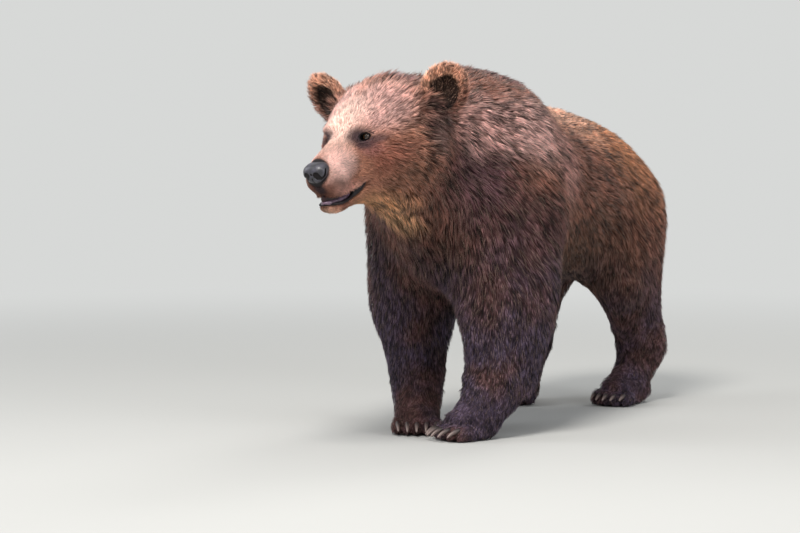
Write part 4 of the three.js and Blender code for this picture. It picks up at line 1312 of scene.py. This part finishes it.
def grow_coat(name, nodes, front, back, layers):
    """One piece of the coat, on the skin that lies over the named nodes."""
    centre = skin_places[triangles].mean(axis=1)
    mine = np.isin(triangle_owner, nodes) & (centre[:, 1] >= front) & (centre[:, 1] < back)
    corner_ids, centre = triangles[mine], centre[mine]
    corners = skin_places[corner_ids]
    uv = unwrap(name, corners)
    edges = corners[:, 1] - corners[:, 0], corners[:, 2] - corners[:, 0]
    area = np.linalg.norm(np.cross(*edges), axis=1) / 2
    on_ear = np.isin(triangle_owner[mine], EARS)
    length, width = lock_size(np.where(on_ear, EAR_DEPTH, lie_of_coat(centre)[1]))
    cover = layers * (1 - bare[corner_ids].mean(axis=1) ** 0.5)
    expected = area * cover / (LOCK_FILL * length * width)
    expected *= min(1, MOST_LOCKS * 0.99 / expected.sum())
    count = np.floor(expected + rng.random(len(expected))).astype(int)
    chosen = np.repeat(np.arange(len(count)), count)
    u, v = np.sort(rng.random((2, len(chosen))), axis=0)
    shares = np.stack([u, v - u, 1 - v], axis=1)[:, :, None]
    root = (corners[chosen] * shares).sum(axis=1)
    root_uv = (uv[chosen] * shares).sum(axis=1)
    normal = unit((skin_normals[corner_ids[chosen]] * shares).sum(axis=1))
    way, depth = lie_of_coat(root)
    owner = triangle_owner[mine][chosen]
    of_ear = np.isin(owner, EARS)
    dish = dish_of_ear(root, normal) * of_ear
    for ear, ear_at in ear_frames:
        here = owner == ear
        way[here] = unit(root[here] - (ear_at @ EAR_ROOT)[:3])
        depth[here] = EAR_DEPTH * (1 - 0.6 * dish[here])
    total = len(root)
    guard = rng.random(total) < GUARD_SHARE
    length, width = lock_size(depth)
    length = length * rng.uniform(*LOCK_SPREAD, total) * np.where(guard, 1.15, 1)
    width = width * rng.uniform(*LOCK_SPREAD, total) * np.where(guard, 0.5, 1)
    way = unit(way - normal * (way * normal).sum(axis=1)[:, None])
    side = np.cross(normal, way)
    veer = sum(angle * waves(root, span) for angle, span in VEER_WAVES)
    veer = veer + rng.normal(0, VEER_SPREAD, total)
    way = way * np.cos(veer)[:, None] + side * np.sin(veer)[:, None]
    side = np.cross(normal, way)
    rise = [angle * rng.uniform(0.7, 1.25, total) for angle in RISE]
    near, far = length * BEND_AT, length * (1 - BEND_AT)
    bend = root + way * (near * np.cos(rise[0]))[:, None]
    bend = bend + normal * (near * np.sin(rise[0]))[:, None]
    tip = bend + way * (far * np.cos(rise[1]))[:, None]
    tip = tip + normal * (far * np.sin(rise[1]))[:, None]
    heads = rng.permutation(total)[: max(total // CLUMP_SIZE, 1)]
    tree = KDTree(len(heads))
    for index, head in enumerate(heads):
        tree.insert(root[head], index)
    tree.balance()
    leader = heads[np.array([tree.find(place)[1] for place in root])]
    pull = CLUMP_PULL * rng.uniform(*CLUMP_PULL_SPREAD, total) * np.where(guard, 0.5, 1)
    pull = (pull * np.where(of_ear, EAR_CLUMPING, 1))[:, None]
    apart = tip[leader] - tip
    tip = tip + apart * pull
    bend = bend + apart * pull * 0.3
    along = unit(tip - root)
    side = unit(np.cross(normal, along))
    up = np.cross(along, side)
    spin = rng.uniform(0, 2 * math.pi, total)
    places = np.empty((total, POINTS, 3))
    places[:, 0] = root - normal * ROOT_SUNK
    for i in range(3):
        angle = spin + i * 2 * math.pi / 3
        round_lock = np.cos(angle)[:, None] * side + LOCK_FLATNESS * np.sin(angle)[:, None] * up
        reach = (width / 2)[:, None] * round_lock
        places[:, 1 + i] = bend + reach
    places[:, 4] = tip
    places[:, :, 2] = np.maximum(places[:, :, 2], FLOOR_CLEARANCE)
    faces = (LOCK_TRIANGLES[None] + POINTS * np.arange(total)[:, None, None]).reshape(-1)
    mesh = bpy.data.meshes.new(name)
    mesh.vertices.add(POINTS * total)
    mesh.loops.add(CORNERS * total)
    mesh.polygons.add(FACES * total)
    mesh.vertices.foreach_set("co", places.ravel().astype(np.float32))
    mesh.loops.foreach_set("vertex_index", faces.astype(np.int32))
    mesh.polygons.foreach_set("loop_start", np.arange(0, CORNERS * total, 3, dtype=np.int32))
    mesh.polygons.foreach_set("use_smooth", np.ones(FACES * total, bool))
    mesh.update()
    uv_places = (root_uv[:, None, :] + LOCK_UV[None]).reshape(-1, 2)
    mesh.uv_layers.new(name="OFBake").data.foreach_set("uv", uv_places[faces].ravel().astype(np.float32))
    clump_tone = rng.random(total)[leader]
    tone = TONE_SHARES[0] * clump_tone + TONE_SHARES[1] * rng.random(total)
    short = np.clip(1 - depth / SHORT_COAT, 0, 1) * np.isin(owner, HEAD_NODES)
    add_attribute(mesh, "root", np.repeat(root, POINTS, axis=0))
    add_attribute(mesh, "along", np.tile([0, BEND_AT, BEND_AT, BEND_AT, 1.0], total))
    add_attribute(mesh, "tone", np.repeat(tone, POINTS))
    add_attribute(mesh, "guard", np.repeat(guard.astype(float), POINTS))
    add_attribute(mesh, "short", np.repeat(short, POINTS))
    # Guard hairs in an ear's dish take less of its painted shade.
    add_attribute(mesh, "dish", np.repeat(dish * np.where(guard, 0.3, 1), POINTS))
    mesh.materials.append(coat_material)
    piece = make_object(name, mesh)
    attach(piece, "root")
    return piece


coat_material, shader, wire = material("bear_coat")
root_wire = wire.attribute("root", output="Vector")
along, tone, guard_wire, short_wire = (
    wire.attribute(name) for name in ("along", "tone", "guard", "short")
)
colour = markings(root_wire)
# A lock is dark at its root and light at its tip, and clumps differ. The short fur is more even.
MOST_LIGHT, SHORT_LIGHT = 1.6, 1.3
light = ((0.14 + 1.4 * along) * (0.08 + 1.97 * tone.step(0.12, 0.88))).at_most(MOST_LIGHT)
light = light + (SHORT_LIGHT - light) * (short_wire * 0.85)
shade = wire.node("ShaderNodeCombineXYZ", {"X": light, "Y": light, "Z": light})
colour = wire.mix(1.0, colour, shade, blend="MULTIPLY")
colour = wire.mix(guard_wire * along * (0.6 - short_wire * 0.35), colour, linear(0.88, 0.74, 0.66))
connect(colour, shader, "Base Color")
set_sockets(shader, {"Roughness": 0.55, "Specular IOR Level": 0.25})

for name, (nodes, front, back, layers) in COATS.items():
    piece = grow_coat(name, nodes, front, back, layers)
